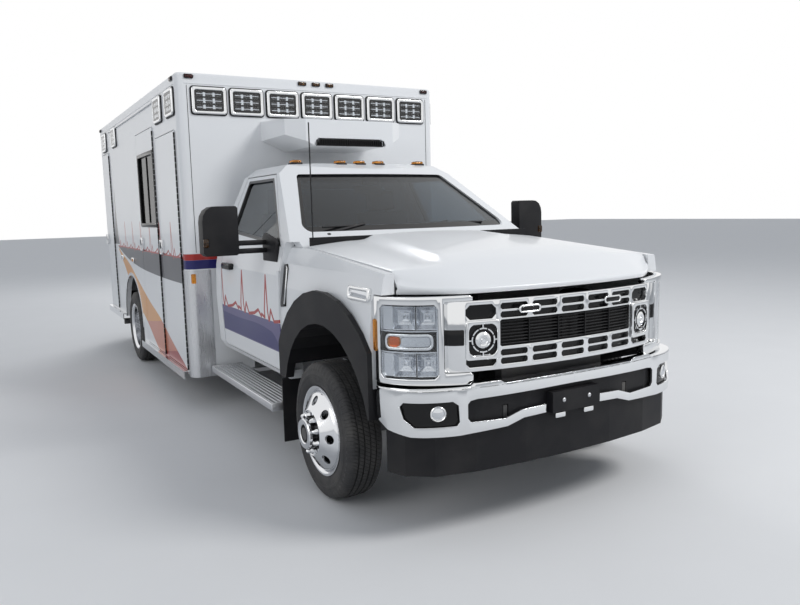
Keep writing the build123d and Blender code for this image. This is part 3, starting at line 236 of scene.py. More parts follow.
# %% Bright metals
def metal(name, color, roughness, grain=(1.0, 1.0, 1.0), grain_scale=60.0, grain_depth=0.1, spots=0.05):
    r = Recipe(name, Metallic=1.0, Base_Color=color)
    stretched = r.add("Mapping", {"Vector": r.place, "Scale": grain}).outputs[0]
    scratch = r.noise(grain_scale, 5.0, stretched)
    polish = r.spread(scratch, 0.3, 0.7, roughness * 0.8, roughness * 1.25)
    cloud = r.noise(5.0, 3.0)
    r.set(r.shader, {"Roughness": r.plus(polish, r.times(cloud, spots))})
    r.bump(scratch, grain_depth, 0.0005)


metal("chrome", (0.78, 0.79, 0.80), 0.05, grain_depth=0.01, spots=0.03)
metal("polished_rim", (0.75, 0.76, 0.78), 0.12, grain=(40, 1, 1), grain_depth=0.03)
metal("aluminium", (0.66, 0.67, 0.69), 0.32, grain=(1, 0.04, 1), grain_scale=160, grain_depth=0.12)
metal("stainless", (0.62, 0.63, 0.65), 0.27, grain=(1, 1, 0.03), grain_scale=220, grain_depth=0.10)
metal("zinc_plate", (0.50, 0.51, 0.53), 0.38, grain_depth=0.05)
metal("lamp_silver", (0.66, 0.68, 0.71), 0.14, grain_depth=0.02)

# %% [markdown]
# The dark parts would merge into one black shape if they shared a finish. Moulded plastic has a fine pebble
# grain, chassis paint is a satin black with dust on it, and cast parts are rougher still, so each gets its
# own grain.

# %% Plastics, chassis paint and cast metal
DRY_DUST = (0.30, 0.28, 0.25)


def dull(name, color, roughness, grain_scale, grain_depth, dust_share=0.25, metallic=0.0, shine=0.5):
    r = Recipe(name, Metallic=metallic, Specular_IOR_Level=shine)
    speck = r.noise(grain_scale, 3.0)
    drift = r.spread(r.noise(4.0, 6.0), 0.45, 0.8, 0.0, dust_share)
    r.set(r.shader, {"Base_Color": r.blend(drift, color, DRY_DUST),
                     "Roughness": r.spread(speck, 0.3, 0.7, roughness - 0.06, roughness + 0.08)})
    r.bump(speck, grain_depth, 0.0006)


dull("black_plastic", (0.007, 0.007, 0.009), 0.5, 900, 0.25, dust_share=0.05, shine=0.25)
dull("gloss_black", (0.006, 0.006, 0.007), 0.2, 500, 0.02, dust_share=0.03, shine=0.3)
dull("frame_black", (0.03, 0.03, 0.032), 0.5, 60, 0.15, dust_share=0.4)
dull("cast_metal", (0.10, 0.10, 0.105), 0.6, 140, 0.4, metallic=0.6, dust_share=0.45)
dull("interior_panel", (0.34, 0.35, 0.36), 0.6, 300, 0.03, dust_share=0.05)
dull("interior_dark", (0.025, 0.026, 0.029), 0.6, 700, 0.15, dust_share=0.05)

# %% [markdown]
# A tyre's tread could be modelled block by block, at tens of thousands of faces a wheel. Here the rubber
# carries it: bars across the shoulder and fine sipes between the ribs are cut by angle round the axle. Both
# axles stand the same distance from one plane, so one recipe finds the angle at either.

# %% Tyre rubber
WHEELBASE = 4.910
AXLE_MIDDLE = STATION + WHEELBASE / 2
HUB_HEIGHT = 0.400
SHOULDER_BARS = 62.0
RIB_SIPES = 110.0
tread = Recipe("tyre", Metallic=0.0)
x, y, z = tread.axes()
across = tread.less(tread.size(tread.less(y, AXLE_MIDDLE)), WHEELBASE / 2)
rise = tread.less(z, HUB_HEIGHT)
round_angle = tread.math("ARCTAN2", rise, across)
reach = tread.math("SQRT", tread.plus(tread.times(rise, rise), tread.times(across, across)))
shoulder = tread.times(tread.spread(reach, 0.352, 0.362), tread.spread(reach, 0.4, 0.397))
bars = tread.spread(tread.math("SINE", tread.times(round_angle, SHOULDER_BARS)), -0.2, 0.2)
slant = tread.plus(tread.times(round_angle, RIB_SIPES), tread.times(x, 160.0))
sipes = tread.spread(tread.math("SINE", slant), 0.72, 0.95)
groove = tread.times(tread.spread(reach, 0.3935, 0.397), sipes)
wall_band = tread.times(tread.spread(reach, 0.335, 0.333), tread.spread(reach, 0.300, 0.302))
fine_rings = tread.spread(tread.math("SINE", tread.times(reach, 1500.0)), -0.3, 0.3)
depth = tread.less(tread.times(shoulder, bars), groove)
depth = tread.plus(depth, tread.times(tread.times(wall_band, fine_rings), 0.12))
soil = tread.spread(tread.noise(7.0, 6.0), 0.42, 0.8, 0.0, 0.35)
rubber_shade = tread.blend(soil, (0.026, 0.026, 0.028), (0.16, 0.15, 0.135))
# The sipes are painted near black in the base colour: painted shade inside the grooves.
tread.set(tread.shader, {"Base_Color": tread.blend(groove, rubber_shade, (0.008, 0.008, 0.008)),
                         "Roughness": tread.spread(tread.noise(220.0), 0.3, 0.7, 0.62, 0.8)})
tread.bump(depth, 0.9, 0.006)
print("axles at", STATION, "and", round(STATION + WHEELBASE, 4))

# %% [markdown]
# Glass could be a mix of transparent and glossy shaders, which is quick but never bends the light. The
# principled shader's own transmission does, at the same cost in nodes. Cab glass is lightly tinted, the
# module's windows are dark, and lamp lenses are clear or coloured plastic with a moulded ripple.

# %% Glass and lenses
def glassy(name, color, roughness=0.02, ripple=0.0, ior=1.45):
    r = Recipe(name, Transmission_Weight=1.0, IOR=ior, Roughness=roughness, Metallic=0.0)
    haze = r.spread(r.noise(6.0), 0.3, 0.8)
    r.set(r.shader, {"Base_Color": r.blend(haze, color, tuple(0.94 * c for c in color))})
    if ripple:
        r.bump(r.noise(80.0, 1.0), ripple, 0.002)


glassy("tinted_glass", (0.19, 0.24, 0.27), ior=1.38)
glassy("dark_glass", (0.02, 0.022, 0.025), ior=1.22)
glassy("clear_lens", (0.93, 0.95, 0.97), ripple=0.05)
glassy("amber_lens", (0.95, 0.35, 0.03), 0.08, ripple=0.1)
glassy("red_lens", (0.75, 0.03, 0.02), 0.08, ripple=0.1)

# %% [markdown]
# Seat vinyl is pressed with a leather grain, which is a net of small rounded cells. Noise has no cells, so
# a smooth Voronoi pattern is used, both for the bump and for the faint change of gloss.

# %% Seat vinyl
vinyl = Recipe("seat_vinyl", Metallic=0.0)
cells = vinyl.add("TexVoronoi", {"Vector": vinyl.place, "Scale": 420.0}, feature="SMOOTH_F1")
pebble = cells.outputs["Distance"]
cloudy = vinyl.spread(vinyl.noise(8.0), 0.3, 0.7)
vinyl.set(vinyl.shader, {"Base_Color": vinyl.blend(cloudy, (0.075, 0.078, 0.085), (0.10, 0.105, 0.115)),
                         "Roughness": vinyl.spread(pebble, 0.0, 0.6, 0.42, 0.55)})
vinyl.bump(pebble, 0.1, 0.0003)

# %% [markdown]
# The stripes are vinyl film on the paint. They could be thin sheets laid on the walls, but those would
# cross the door gaps. Each is instead drawn in the paint by its own edges, in metres along the side and up
# from the ground, so the same film runs over wall and doors and stays on a door when it opens. An edge is a
# curve of height over length.

# %% Film edges
CURVE_REACH = 3.0


def height_curve(r, length, points):
    """The height, in metres, of an edge that runs through (length, height) points."""
    start, end = points[0][0], points[-1][0]
    node = r.add("FloatCurve", {"Value": r.spread(length, start, end)})
    curve = node.mapping.curves[0]
    scaled = [((a - start) / (end - start), b / CURVE_REACH) for a, b in points]
    while len(curve.points) < len(scaled):
        curve.points.new(0.5, 0.5)
    for spot, place in zip(curve.points, scaled):
        spot.location = place
        spot.handle_type = "AUTO"
    node.mapping.update()
    return r.times(node.outputs[0], CURVE_REACH)


def all_of(r, *masks):
    result = masks[0]
    for mask in masks[1:]:
        result = r.times(result, mask)
    return result


def over(r, value, limit, soft=0.0015):
    """1 where value is above limit, with an edge that is a millimetre or two wide."""
    gap = r.less(value, limit)
    return r.spread(gap, -soft, soft)


def under(r, value, limit):
    return over(r, limit, value)


print("film edges are drawn up to", CURVE_REACH, "m")

# %% [markdown]
# The heartbeat line is one trace that repeats along the side. A wave function can't give its sharp spike,
# so the stroke is the set of points near a folded line: each fold is one distance to a segment, and the
# nearest one counts.

# %% Heartbeat line
HEART_LEAD = 0.075
HEART = [(-HEART_LEAD, -0.004), (-0.02, -0.02), (0.0, 0.27), (0.055, -0.045), (0.098, 0.045),
         (0.145, -0.03), (0.26, -0.012), (0.34, 0.02), (0.39, -0.02), (0.4246, -0.004)]


def segment_distance(r, place, rise, a, b):
    """The distance from a point to the straight line between two corners."""
    run, climb = b[0] - a[0], b[1] - a[1]
    size = run * run + climb * climb
    da = r.less(place, a[0])
    db = r.less(rise, a[1])
    share = r.plus(r.times(da, run / size), r.times(db, climb / size))
    share = r.math("MINIMUM", r.math("MAXIMUM", share, 0.0), 1.0)
    ea = r.less(da, r.times(share, run))
    eb = r.less(db, r.times(share, climb))
    return r.math("SQRT", r.plus(r.times(ea, ea), r.times(eb, eb)))


def heartbeat(r, along, height, first, pitch, base, width, stretch=1.0):
    """A stroke that repeats every pitch metres, measured towards the front from each spike."""
    lead = HEART_LEAD * stretch
    place = r.math("WRAP", r.less(first, along), pitch - lead, -lead)
    rise = r.less(height, base)
    folds = [(a * stretch, b) for a, b in HEART]
    folds[-1] = (pitch - lead, folds[-1][1])
    nearest = segment_distance(r, place, rise, folds[0], folds[1])
    for a, b in zip(folds[1:], folds[2:]):
        nearest = r.math("MINIMUM", nearest, segment_distance(r, place, rise, a, b))
    return under(r, nearest, width / 2)


print("the heartbeat has", len(HEART) - 1, "strokes")

# %% [markdown]
# The film's colours are written deeper than they look in sunlight, because the studio's level light lifts
# them. Naming them once keeps the red of the line and the red of the front bar the same.

# %% Film colours
FILM_RED = (0.42, 0.030, 0.025)
FILM_SALMON = (0.60, 0.19, 0.11)
FILM_DARK_RED = (0.36, 0.03, 0.03)
FILM_AMBER = (0.72, 0.30, 0.045)
FILM_GREY = (0.060, 0.060, 0.072)
FILM_BLUE = (0.016, 0.016, 0.135)
FILM_VIOLET = (0.10, 0.085, 0.22)
print("blue film", FILM_BLUE, "violet film", FILM_VIOLET)

# %% [markdown]
# Each wall and door of the module could have its own paint, but the bands would then be written many times.
# They share one paint, so that a band meets itself from wall to door. Two masks keep the film where it is
# stuck: one starts behind the front corner, and one keeps to the outer skin, since the inside is bare.

# %% Module paint
SIDE_START = 2.385
OUTER_SKIN = 1.205
module = body_paint("module_paint")
x, y, z = module.axes()
length = module.less(y, STATION)
module_coat = module.shader.inputs["Base Color"].links[0].from_socket
on_side = over(module, length, SIDE_START)
on_front = module.less(1.0, on_side)
sides = all_of(module, on_side, over(module, module.size(x), OUTER_SKIN))


def side_film(low, high, *limits):
    """The part of the side walls between two edges and within further limits."""
    return all_of(module, sides, under(module, z, high), over(module, z, low), *limits)


print("film starts", SIDE_START, "m behind the front axle")

# %% [markdown]
# A long grey band narrows to the rear, and a warm swoosh rises to meet it. The swoosh changes from dark red
# over salmon to amber along two straight ramps, as three sheets laid edge to edge would. One picture could
# hold it all, but an edge that is a curve stays sharp at any size.

# %% Band and swoosh
GREY_TOP = [(SIDE_START, 1.30), (4.0, 1.302), (5.0, 1.305), (5.75, 1.31)]
GREY_LOW = [(SIDE_START, 1.08), (3.6, 1.085), (4.5, 1.12), (5.1, 1.18), (5.75, 1.30)]
SWOOSH_TOP = [(2.45, 0.33), (3.0, 0.50), (3.482, 0.665), (3.962, 0.785), (4.5, 0.95), (5.0, 1.113),
              (5.45, 1.215), (5.75, 1.30)]
SWOOSH_LOW = [(2.45, 0.05), (3.1, 0.15), (3.716, 0.361), (4.144, 0.544), (4.6, 0.70), (5.03, 0.90),
              (5.39, 1.10), (5.75, 1.29)]
band_end = under(module, length, 5.72)
grey_low = height_curve(module, length, GREY_LOW)
grey_top = height_curve(module, length, GREY_TOP)
swoosh_low = height_curve(module, length, SWOOSH_LOW)
swoosh_top = height_curve(module, length, SWOOSH_TOP)
amber_edge = module.plus(0.569 + 4.03 * 0.121, module.times(length, -0.121))
salmon_edge = module.plus(0.323 + 3.566 * 0.159, module.times(length, -0.159))
flame = module.blend(over(module, z, salmon_edge), FILM_DARK_RED, FILM_SALMON)
flame = module.blend(over(module, z, amber_edge), flame, FILM_AMBER)
module_coat = module.blend(side_film(grey_low, grey_top, band_end), module_coat, FILM_GREY)
module_coat = module.blend(side_film(swoosh_low, swoosh_top, over(module, length, 2.46),
                                     under(module, length, 5.7)), module_coat, flame)
print("the swoosh has", len(SWOOSH_TOP), "points on its upper edge")

# %% [markdown]
# At the band's rear end a grey spike stands up, the last beat of the trace. The red line runs along the
# band's top, and a red and a blue bar cross the front wall. They could be more curves, but their edges are
# straight, so plain limits are enough.

# %% Spike, trace and bars
SPIKE = [(5.60, 1.32), (5.68, 1.45), (5.74, 1.75), (5.76, 2.0), (5.80, 1.75), (5.90, 1.45), (6.05, 1.32)]
spike_top = height_curve(module, length, SPIKE)
module_coat = module.blend(side_film(1.325, spike_top, over(module, length, 5.6),
                                     under(module, length, 6.05)), module_coat, FILM_GREY)
beat = heartbeat(module, length, z, 5.17, 0.4746, 1.325, 0.017)
trace = all_of(module, sides, beat, over(module, length, 2.40), under(module, length, 5.62))
module_coat = module.blend(trace, module_coat, FILM_RED)
module_coat = module.blend(side_film(1.296, 1.308, band_end), module_coat, FILM_RED)
for bar_low, bar_high, bar_color in ((1.283, 1.335, FILM_RED), (1.208, 1.283, FILM_BLUE)):
    bar = all_of(module, on_front, over(module, z, bar_low), under(module, z, bar_high))
    module_coat = module.blend(bar, module_coat, bar_color)
module.set(module.shader, {"Base_Color": module_coat})
print("module paint has", len(module.tree.nodes), "nodes")

# %% [markdown]
# The cab doors carry a violet band with a blue one over it, whose upper edge dips at the front, and the
# same trace at their own height. The doors' inner faces stand further in, so a limit on the width leaves
# them bare.

# %% Cab door paint
DOOR_SKIN = 0.97
door = body_paint("cab_door_paint")
x, y, door_z = door.axes()
door_length = door.less(y, STATION)
door_coat = door.shader.inputs["Base Color"].links[0].from_socket
outer = over(door, door.size(x), DOOR_SKIN)
violet = all_of(door, outer, under(door, door_z, 0.935), over(door, door_z, 0.735))
BLUE_TOP = [(0.70, 0.74), (0.85, 0.85), (0.92, 0.865), (1.7, 0.875), (2.04, 0.885)]
blue_top = height_curve(door, door_length, BLUE_TOP)
blue = all_of(door, outer, under(door, door_z, blue_top), over(door, door_z, 0.742),
              over(door, door_length, 0.70))
beat = heartbeat(door, door_length, door_z, 2.02, 0.525, 0.965, 0.022, 1.1)
trace = all_of(door, outer, beat, over(door, door_z, 0.925))
door_coat = door.blend(violet, door_coat, FILM_VIOLET)
door_coat = door.blend(blue, door_coat, FILM_BLUE)
door_coat = door.blend(trace, door_coat, FILM_RED)
print("door paint has", len(door.tree.nodes), "nodes")

# %% [markdown]
# Each door window sits in a black rubber seal. A separate ring would have to follow the skin's curve, so
# the seal is the part of the door skin within two centimetres of the opening, found by the distance to its
# four edges.

# %% Window seals
WINDOW = [(0.815, 1.462), (1.900, 1.530), (1.930, 1.893), (1.390, 1.893)]
SEAL_WIDTH = 0.020
near_window = []
for (a_length, a_height), (b_length, b_height) in zip(WINDOW, WINDOW[1:] + WINDOW[:1]):
    run, lift = b_length - a_length, b_height - a_height
    size = math.hypot(run, lift)
    off = door.plus(door.times(door_length, lift / size), door.times(door_z, -run / size))
    near_window.append(under(door, off, (a_length * lift - a_height * run) / size + SEAL_WIDTH))
door_coat = door.blend(all_of(door, *near_window), door_coat, (0.010, 0.010, 0.011))
door.set(door.shader, {"Base_Color": door_coat})
print("the seal follows", len(near_window), "edges")

# %% [markdown]
# The windscreen is glued in, and a black printed edge hides the glue. It could be a second sheet, but two
# panes so close flicker, so the print is drawn inside the glass from its own outline. The shade band at the
# top is a tint.

# %% Windscreen
SCREEN_FOOT = 1.528
SCREEN_TAPER = 0.528
CLEAR_HALF = 0.840 - 0.036
screen = Recipe("windscreen", IOR=1.38, Roughness=0.02, Metallic=0.0)
x, y, z = screen.axes()
half_width = screen.less(CLEAR_HALF + SCREEN_FOOT * SCREEN_TAPER, screen.times(z, SCREEN_TAPER))
clear = all_of(screen, over(screen, z, 1.562), under(screen, z, 1.905),
               under(screen, screen.size(x), half_width))
clear = screen.math("MAXIMUM", clear, over(screen, y, -1.3))
glass_tone = screen.blend(screen.spread(z, 1.86, 1.89), (0.15, 0.20, 0.25), (0.03, 0.05, 0.08))
screen.set(screen.shader, {"Base_Color": screen.blend(clear, (0.008, 0.008, 0.009), glass_tone),
                           "Transmission_Weight": clear})
print("clear glass is", round(2 * CLEAR_HALF, 3), "m wide at the foot")

# %% [markdown]
# The solids come in with one plain material. Each could be given its finish by hand, in sixty lines. Their
# names say what they are, so a table from words in a name to a finish dresses them all, and what isn't in
# it is white coachwork.

# %% Finish for every node
FINISH = {
    "tyre": "tyre", "rim": "polished_rim", "knuckle": "cast_metal", "front_axle": "cast_metal",
    "rear_axle": "cast_metal", "powertrain": "cast_metal", "frame_rails": "frame_black",
    "fuel_tank": "frame_black", "front_bumper": "chrome", "grille_backing": "gloss_black", "grille": "chrome",
    "headlamp_bezels": "chrome", "warning_bezels": "chrome", "headlamp_lenses": "clear_lens",
    "warning_lenses": "clear_lens", "marker_lamps": "amber_lens", "side_entry_glass": "dark_glass",
    "rear_glass": "dark_glass", "cab_glass": "windscreen", "door_glass": "tinted_glass",
    "running_boards": "aluminium", "rear_step": "aluminium", "module_trim": "aluminium",
    "bumper_valance": "black_plastic", "wheel_guards": "black_plastic", "cowl": "black_plastic",
    "mirror": "black_plastic", "dashboard": "interior_dark", "module_cabinets": "interior_panel",
    "module_floor": "interior_panel", "seats": "seat_vinyl", "module_curb": "module_paint",
    "module_street": "module_paint", "module_front": "module_paint", "curb_": "module_paint",
    "street_": "module_paint", "side_entry_door": "module_paint", "cab_door": "cab_door_paint",
}
for node_name, node in NODES.items():
    finish = next((FINISH[key] for key in FINISH if key in node_name), "white_paint")
    node.data.materials.clear()
    node.data.materials.append(MATERIALS[finish])
print(len(NODES), "nodes have a finish")

# %% [markdown]
# Trim is made by the same few moves as by hand. An operator acts on all that is selected, and the solids
# come in selected, so each move first holds one piece alone. Calling the operators without this would be
# shorter, but would change the wrong mesh.

# %% Holding a piece
CLOSE_CORNERS = 0.00005
SIDES = (("left", 1), ("right", -1))


def clear_selection():
    if bpy.context.mode != "OBJECT":
        bpy.ops.object.mode_set(mode="OBJECT")
    bpy.ops.object.select_all(action="DESELECT")


def hold(piece):
    clear_selection()
    piece.select_set(True)
    bpy.context.view_layer.objects.active = piece


def settle(piece):
    """Puts the piece's place into its mesh."""
    hold(piece)
    bpy.ops.object.transform_apply(location=True, rotation=True, scale=True)


def turned_out(piece):
    """Closes the mesh where corners meet and turns its faces outwards."""
    hold(piece)
    bpy.ops.object.mode_set(mode="EDIT")
    bpy.ops.mesh.select_all(action="SELECT")
    bpy.ops.mesh.remove_doubles(threshold=CLOSE_CORNERS)
    bpy.ops.mesh.normals_make_consistent(inside=False)
    bpy.ops.object.mode_set(mode="OBJECT")


print("corners closer than", CLOSE_CORNERS, "m become one")

# %% [markdown]
# Flat trim starts as a sheet cut to its outline. A cube could be carved down to it with many cuts, but a
# circle with as many corners as the outline gets there at once: its corners are put in place and the face
# is extruded to its depth. Bars start as a cube set between two corners.

# %% Blanks
def on_axis(axis, a, b, depth):
    return {"x": (depth, a, b), "y": (a, depth, b), "z": (a, b, depth)}[axis]


def plate(name, outline, axis, low, high):
    """A blank of any outline, extruded from low to high along an axis."""
    clear_selection()
    bpy.ops.mesh.primitive_circle_add(vertices=len(outline), radius=1, fill_type="NGON")
    piece = bpy.context.object
    piece.name = piece.data.name = name
    for corner, (a, b) in zip(piece.data.vertices, outline):
        corner.co = on_axis(axis, a, b, low)
    bpy.ops.object.mode_set(mode="EDIT")
    bpy.ops.mesh.select_all(action="SELECT")
    bpy.ops.mesh.extrude_region_move(TRANSFORM_OT_translate={"value": on_axis(axis, 0, 0, high - low)})
    bpy.ops.object.mode_set(mode="OBJECT")
    turned_out(piece)
    return piece


def slab(name, low, high):
    """A squared blank between two corners."""
    clear_selection()
    bpy.ops.mesh.primitive_cube_add(size=1, location=(Vector(low) + Vector(high)) / 2)
    piece = bpy.context.object
    piece.name = piece.data.name = name
    piece.scale = Vector(high) - Vector(low)
    settle(piece)
    return piece


print("blanks are extruded along", ["x", "y", "z"])

# %% [markdown]
# Pressed and cast edges are never sharp, and holes are punched through. Both could be done edge by edge in
# edit mode. A bevel by angle and a boolean find their edges themselves, so each is added as a modifier and
# applied at once.

# %% Easing and cutting
def use(piece, kind, **settings):
    """Adds a modifier, sets it and applies it."""
    hold(piece)
    modifier = piece.modifiers.new(kind.lower(), kind)
    for key, value in settings.items():
        setattr(modifier, key, value)
    bpy.ops.object.modifier_apply(modifier=modifier.name)
    return piece


def ease(piece, width, segments=2, angle=35):
    return use(piece, "BEVEL", width=width, segments=segments, limit_method="ANGLE",
               angle_limit=math.radians(angle))


def cut(piece, cutter):
    use(piece, "BOOLEAN", operation="DIFFERENCE", object=cutter, solver="EXACT")
    bpy.data.objects.remove(cutter)
    return piece


print("edges are eased where faces turn by more than 35 degrees")

# %% [markdown]
# Bumper, grille and headlamps are flat patterns bent round the truck's nose. Bending them corner by corner
# would stretch them, so each is cut flat, sliced into strips and laid along a smooth plan line by a curve
# modifier.

# %% Bending
def slice_along(piece, axis, step, low, high):
    """Cuts a mesh at regular places, so that it can bend."""
    hold(piece)
    bpy.ops.object.mode_set(mode="EDIT")
    place = low
    while place < high:
        bpy.ops.mesh.select_all(action="SELECT")
        bpy.ops.mesh.bisect(plane_co=on_axis(axis, 0, 0, place), plane_no=on_axis(axis, 0, 0, 1))
        place += step
    bpy.ops.object.mode_set(mode="OBJECT")


def plan_curve(plan):
    """A smooth line through (x, station) points."""
    data = bpy.data.curves.new("plan", "CURVE")
    data.dimensions = "3D"
    data.resolution_u = 24
    spline = data.splines.new("BEZIER")
    spline.bezier_points.add(len(plan) - 1)
    for knot, (x, station) in zip(spline.bezier_points, plan):
        knot.co = at(x, station, 0)
        knot.handle_left_type = knot.handle_right_type = "AUTO"
    line = bpy.data.objects.new("plan", data)
    bpy.context.scene.collection.objects.link(line)
    return line


def bowed(piece, plan, step, low, high):
    """Slices a flat piece from low to high and bends it round the plan line."""
    slice_along(piece, "x", step, low, high)
    line = plan_curve(plan)
    use(piece, "CURVE", object=line, deform_axis="POS_X")
    bpy.data.objects.remove(line)
    return piece


print("pieces bend along plan lines measured from the front axle")

# %% [markdown]
# The vehicle is nearly the same on both sides, and many lamps repeat. Copies that share one mesh would save
# memory, but pieces on different doors need their own. So a piece that crosses the middle is mirrored in
# one mesh, and the others are duplicated.

# %% Copies
def both_sides(piece):
    use(piece, "MIRROR", use_axis=(True, False, False), merge_threshold=0.0005)
    turned_out(piece)
    return piece


def mirrored(piece, name):
    """A copy for the other side, with its own mesh."""
    hold(piece)
    bpy.ops.object.duplicate(linked=False)
    other = bpy.context.object
    other.name = other.data.name = name
    for corner in other.data.vertices:
        corner.co.x = -corner.co.x
    hold(other)
    bpy.ops.object.mode_set(mode="EDIT")
    bpy.ops.mesh.select_all(action="SELECT")
    bpy.ops.mesh.flip_normals()
    bpy.ops.object.mode_set(mode="OBJECT")
    return other


def joined(pieces, name):
    hold(pieces[0])
    for piece in pieces[1:]:
        piece.select_set(True)
    bpy.ops.object.join()
    pieces[0].name = pieces[0].data.name = name
    return pieces[0]


print("copies are made for", [side for side, sign in SIDES])

# %% [markdown]
# Tyres, rims, nuts and lamp bowls are turned parts. A cylinder with insets could come near them, but a
# drawn section that is spun about its axle gives every step and radius at once.

# %% Turned pieces
SPIN_AXIS = {"x": (1, 0, 0), "y": (0, 1, 0), "z": (0, 0, 1)}


def lathe(name, profile, centre, steps=96, axis="x"):
    """A closed profile of (along the axle, radius) spun about an axle through centre."""
    clear_selection()
    bpy.ops.mesh.primitive_circle_add(vertices=len(profile), radius=1, fill_type="NOTHING")
    piece = bpy.context.object
    piece.name = piece.data.name = name
    centre = Vector(centre)
    for corner, (along, radius) in zip(piece.data.vertices, profile):
        place = {"x": (along, 0, radius), "y": (0, along, radius), "z": (radius, 0, along)}[axis]
        corner.co = centre + Vector(place)
    bpy.ops.object.mode_set(mode="EDIT")
    bpy.ops.mesh.select_all(action="SELECT")
    bpy.ops.mesh.spin(steps=steps, angle=2 * math.pi, center=centre, axis=SPIN_AXIS[axis])
    bpy.ops.object.mode_set(mode="OBJECT")
    turned_out(piece)
    return piece


print("sections are spun about", list(SPIN_AXIS))

# %% [markdown]
# Every piece ends alike: its flat faces stay crisp and its round ones smooth, it gets one finish, it is
# hung on the body that carries it, and the solids it stands for are hidden. Smooth shading all over would
# smear the flat faces, so it goes by angle.

# %% Finishing
def done(piece, finish, body="chassis", slot=None, angle=35, replaces=()):
    """The last steps of every piece: smooth faces, finish, body and what it stands for."""
    hold(piece)
    bpy.ops.object.shade_smooth_by_angle(angle=math.radians(angle))
    piece.data.materials.clear()
    piece.data.materials.append(MATERIALS[finish])
    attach(piece, body)
    if replaces:
        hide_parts(*replaces)
    print(piece.name, len(piece.data.vertices), "vertices")
    return piece


def done_pair(piece, finish, **kinds):
    """Mirrors a piece to the other side in one mesh and finishes it."""
    return done(both_sides(piece), finish, **kinds)


print("faces that meet within 35 degrees are shaded smooth")

# %% [markdown]
# A truck tyre is turned from its real section: round bead, bulged wall with its ring, squared shoulder and
# five ribs parted by four grooves. A torus has neither the flat tread nor the bead, so half a section is
# drawn, mirrored and spun about the axle.

# %% Tyres
TYRE_HALF = [(0.000, 0.3995), (0.013, 0.3995), (0.0145, 0.3885), (0.0215, 0.3885), (0.023, 0.3992),
             (0.047, 0.3982), (0.0485, 0.3875), (0.0555, 0.3875), (0.057, 0.3975), (0.076, 0.3955),
             (0.089, 0.3905), (0.097, 0.3820), (0.1045, 0.3660), (0.1100, 0.3440), (0.1125, 0.3340),
             (0.1142, 0.3325), (0.1145, 0.3180), (0.1128, 0.3160), (0.1120, 0.2980), (0.1070, 0.2790),
             (0.0985, 0.2650), (0.0900, 0.2560), (0.0850, 0.2510)]
TYRE_SECTION = TYRE_HALF + [(-a, r) for a, r in reversed(TYRE_HALF[1:])]
AXLES = {"front": STATION, "rear": STATION + WHEELBASE}
FRONT_WHEEL = 0.95
TWIN_OUTER = 1.108
TWIN_INNER = 0.772
for side, sign in SIDES:
    for tyre_name, axle, x, body in (("front_tyre_%s_turned", "front", FRONT_WHEEL, "front_wheel_"),
                                     ("rear_tyre_%s_outer", "rear", TWIN_OUTER, "rear_wheels_"),
                                     ("rear_tyre_%s_inner", "rear", TWIN_INNER, "rear_wheels_")):
        tyre = lathe(tyre_name % side, TYRE_SECTION, (sign * x, AXLES[axle], HUB_HEIGHT), 120)
        done(tyre, "tyre", body + side)
    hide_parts("front_tyre_" + side)
    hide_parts("rear_tyres_" + side)
print("tyre section has", len(TYRE_SECTION), "corners")

# %% [markdown]
# The wheels are polished forged discs. The front one bulges out past its barrel and the rear one is the
# same disc turned round, which gives the deep dish. Modelling both would double the work, so one section is
# drawn and faced either way.

# %% Wheel sections
BARREL = [(-0.1, 0.2625), (-0.088, 0.2500), (0.088, 0.2500), (0.100, 0.2625), (0.1045, 0.2610),
          (0.1040, 0.2530), (0.0960, 0.2400), (0.0820, 0.2310), (-0.0820, 0.2310), (-0.0960, 0.2400),
          (-0.1040, 0.2530), (-0.1045, 0.2610)]
DISC = [(0.070, 0.2325), (0.084, 0.2310), (0.098, 0.2280), (0.105, 0.2230), (0.112, 0.2150),
        (0.158, 0.1400), (0.163, 0.1360), (0.166, 0.1310), (0.163, 0.1265), (0.154, 0.1250),
        (0.152, 0.0800), (0.140, 0.0800), (0.140, 0.1260), (0.146, 0.1380), (0.100, 0.2120),
        (0.090, 0.2200), (0.068, 0.2240)]
FRONT_HUB = [(0.080, 0.0), (0.080, 0.086), (0.190, 0.086), (0.193, 0.083), (0.193, 0.052), (0.184, 0.048),
             (0.184, 0.0)]
HUB_RING = [(0.190, 0.053), (0.190, 0.088), (0.203, 0.088), (0.209, 0.083), (0.209, 0.058), (0.204, 0.052)]
REAR_HUB = [(-0.060, 0.0), (-0.060, 0.095), (0.012, 0.095), (0.020, 0.090), (0.022, 0.082), (0.128, 0.076),
            (0.140, 0.072), (0.146, 0.065), (0.148, 0.052), (0.141, 0.048), (0.140, 0.034), (0.148, 0.030),
            (0.150, 0.0)]


def facing(profile, sign):
    """A section as drawn for the left, or turned round for the right."""
    return profile if sign > 0 else [(-a, r) for a, r in reversed(profile)]


print("the disc's section has", len(DISC), "corners")

# %% [markdown]
# Eight hand holes are bored through each disc and ten nuts stand on the bolt ring. The holes could be left
# out of a spun grid of faces, but drilling them with a boolean leaves a round edge that a bevel can ease. A
# nut is a six-step lathe turning.

# %% Hand holes and nuts
HAND_HOLES = 8
HOLE_RING = 0.184
NUTS = 10
NUT_RING = 0.106
NUT = [(0.0, 0.0), (0.0, 0.0185), (0.004, 0.0185), (0.005, 0.0160), (0.026, 0.0160), (0.030, 0.0135),
       (0.040, 0.0110), (0.0445, 0.0065), (0.046, 0.0)]


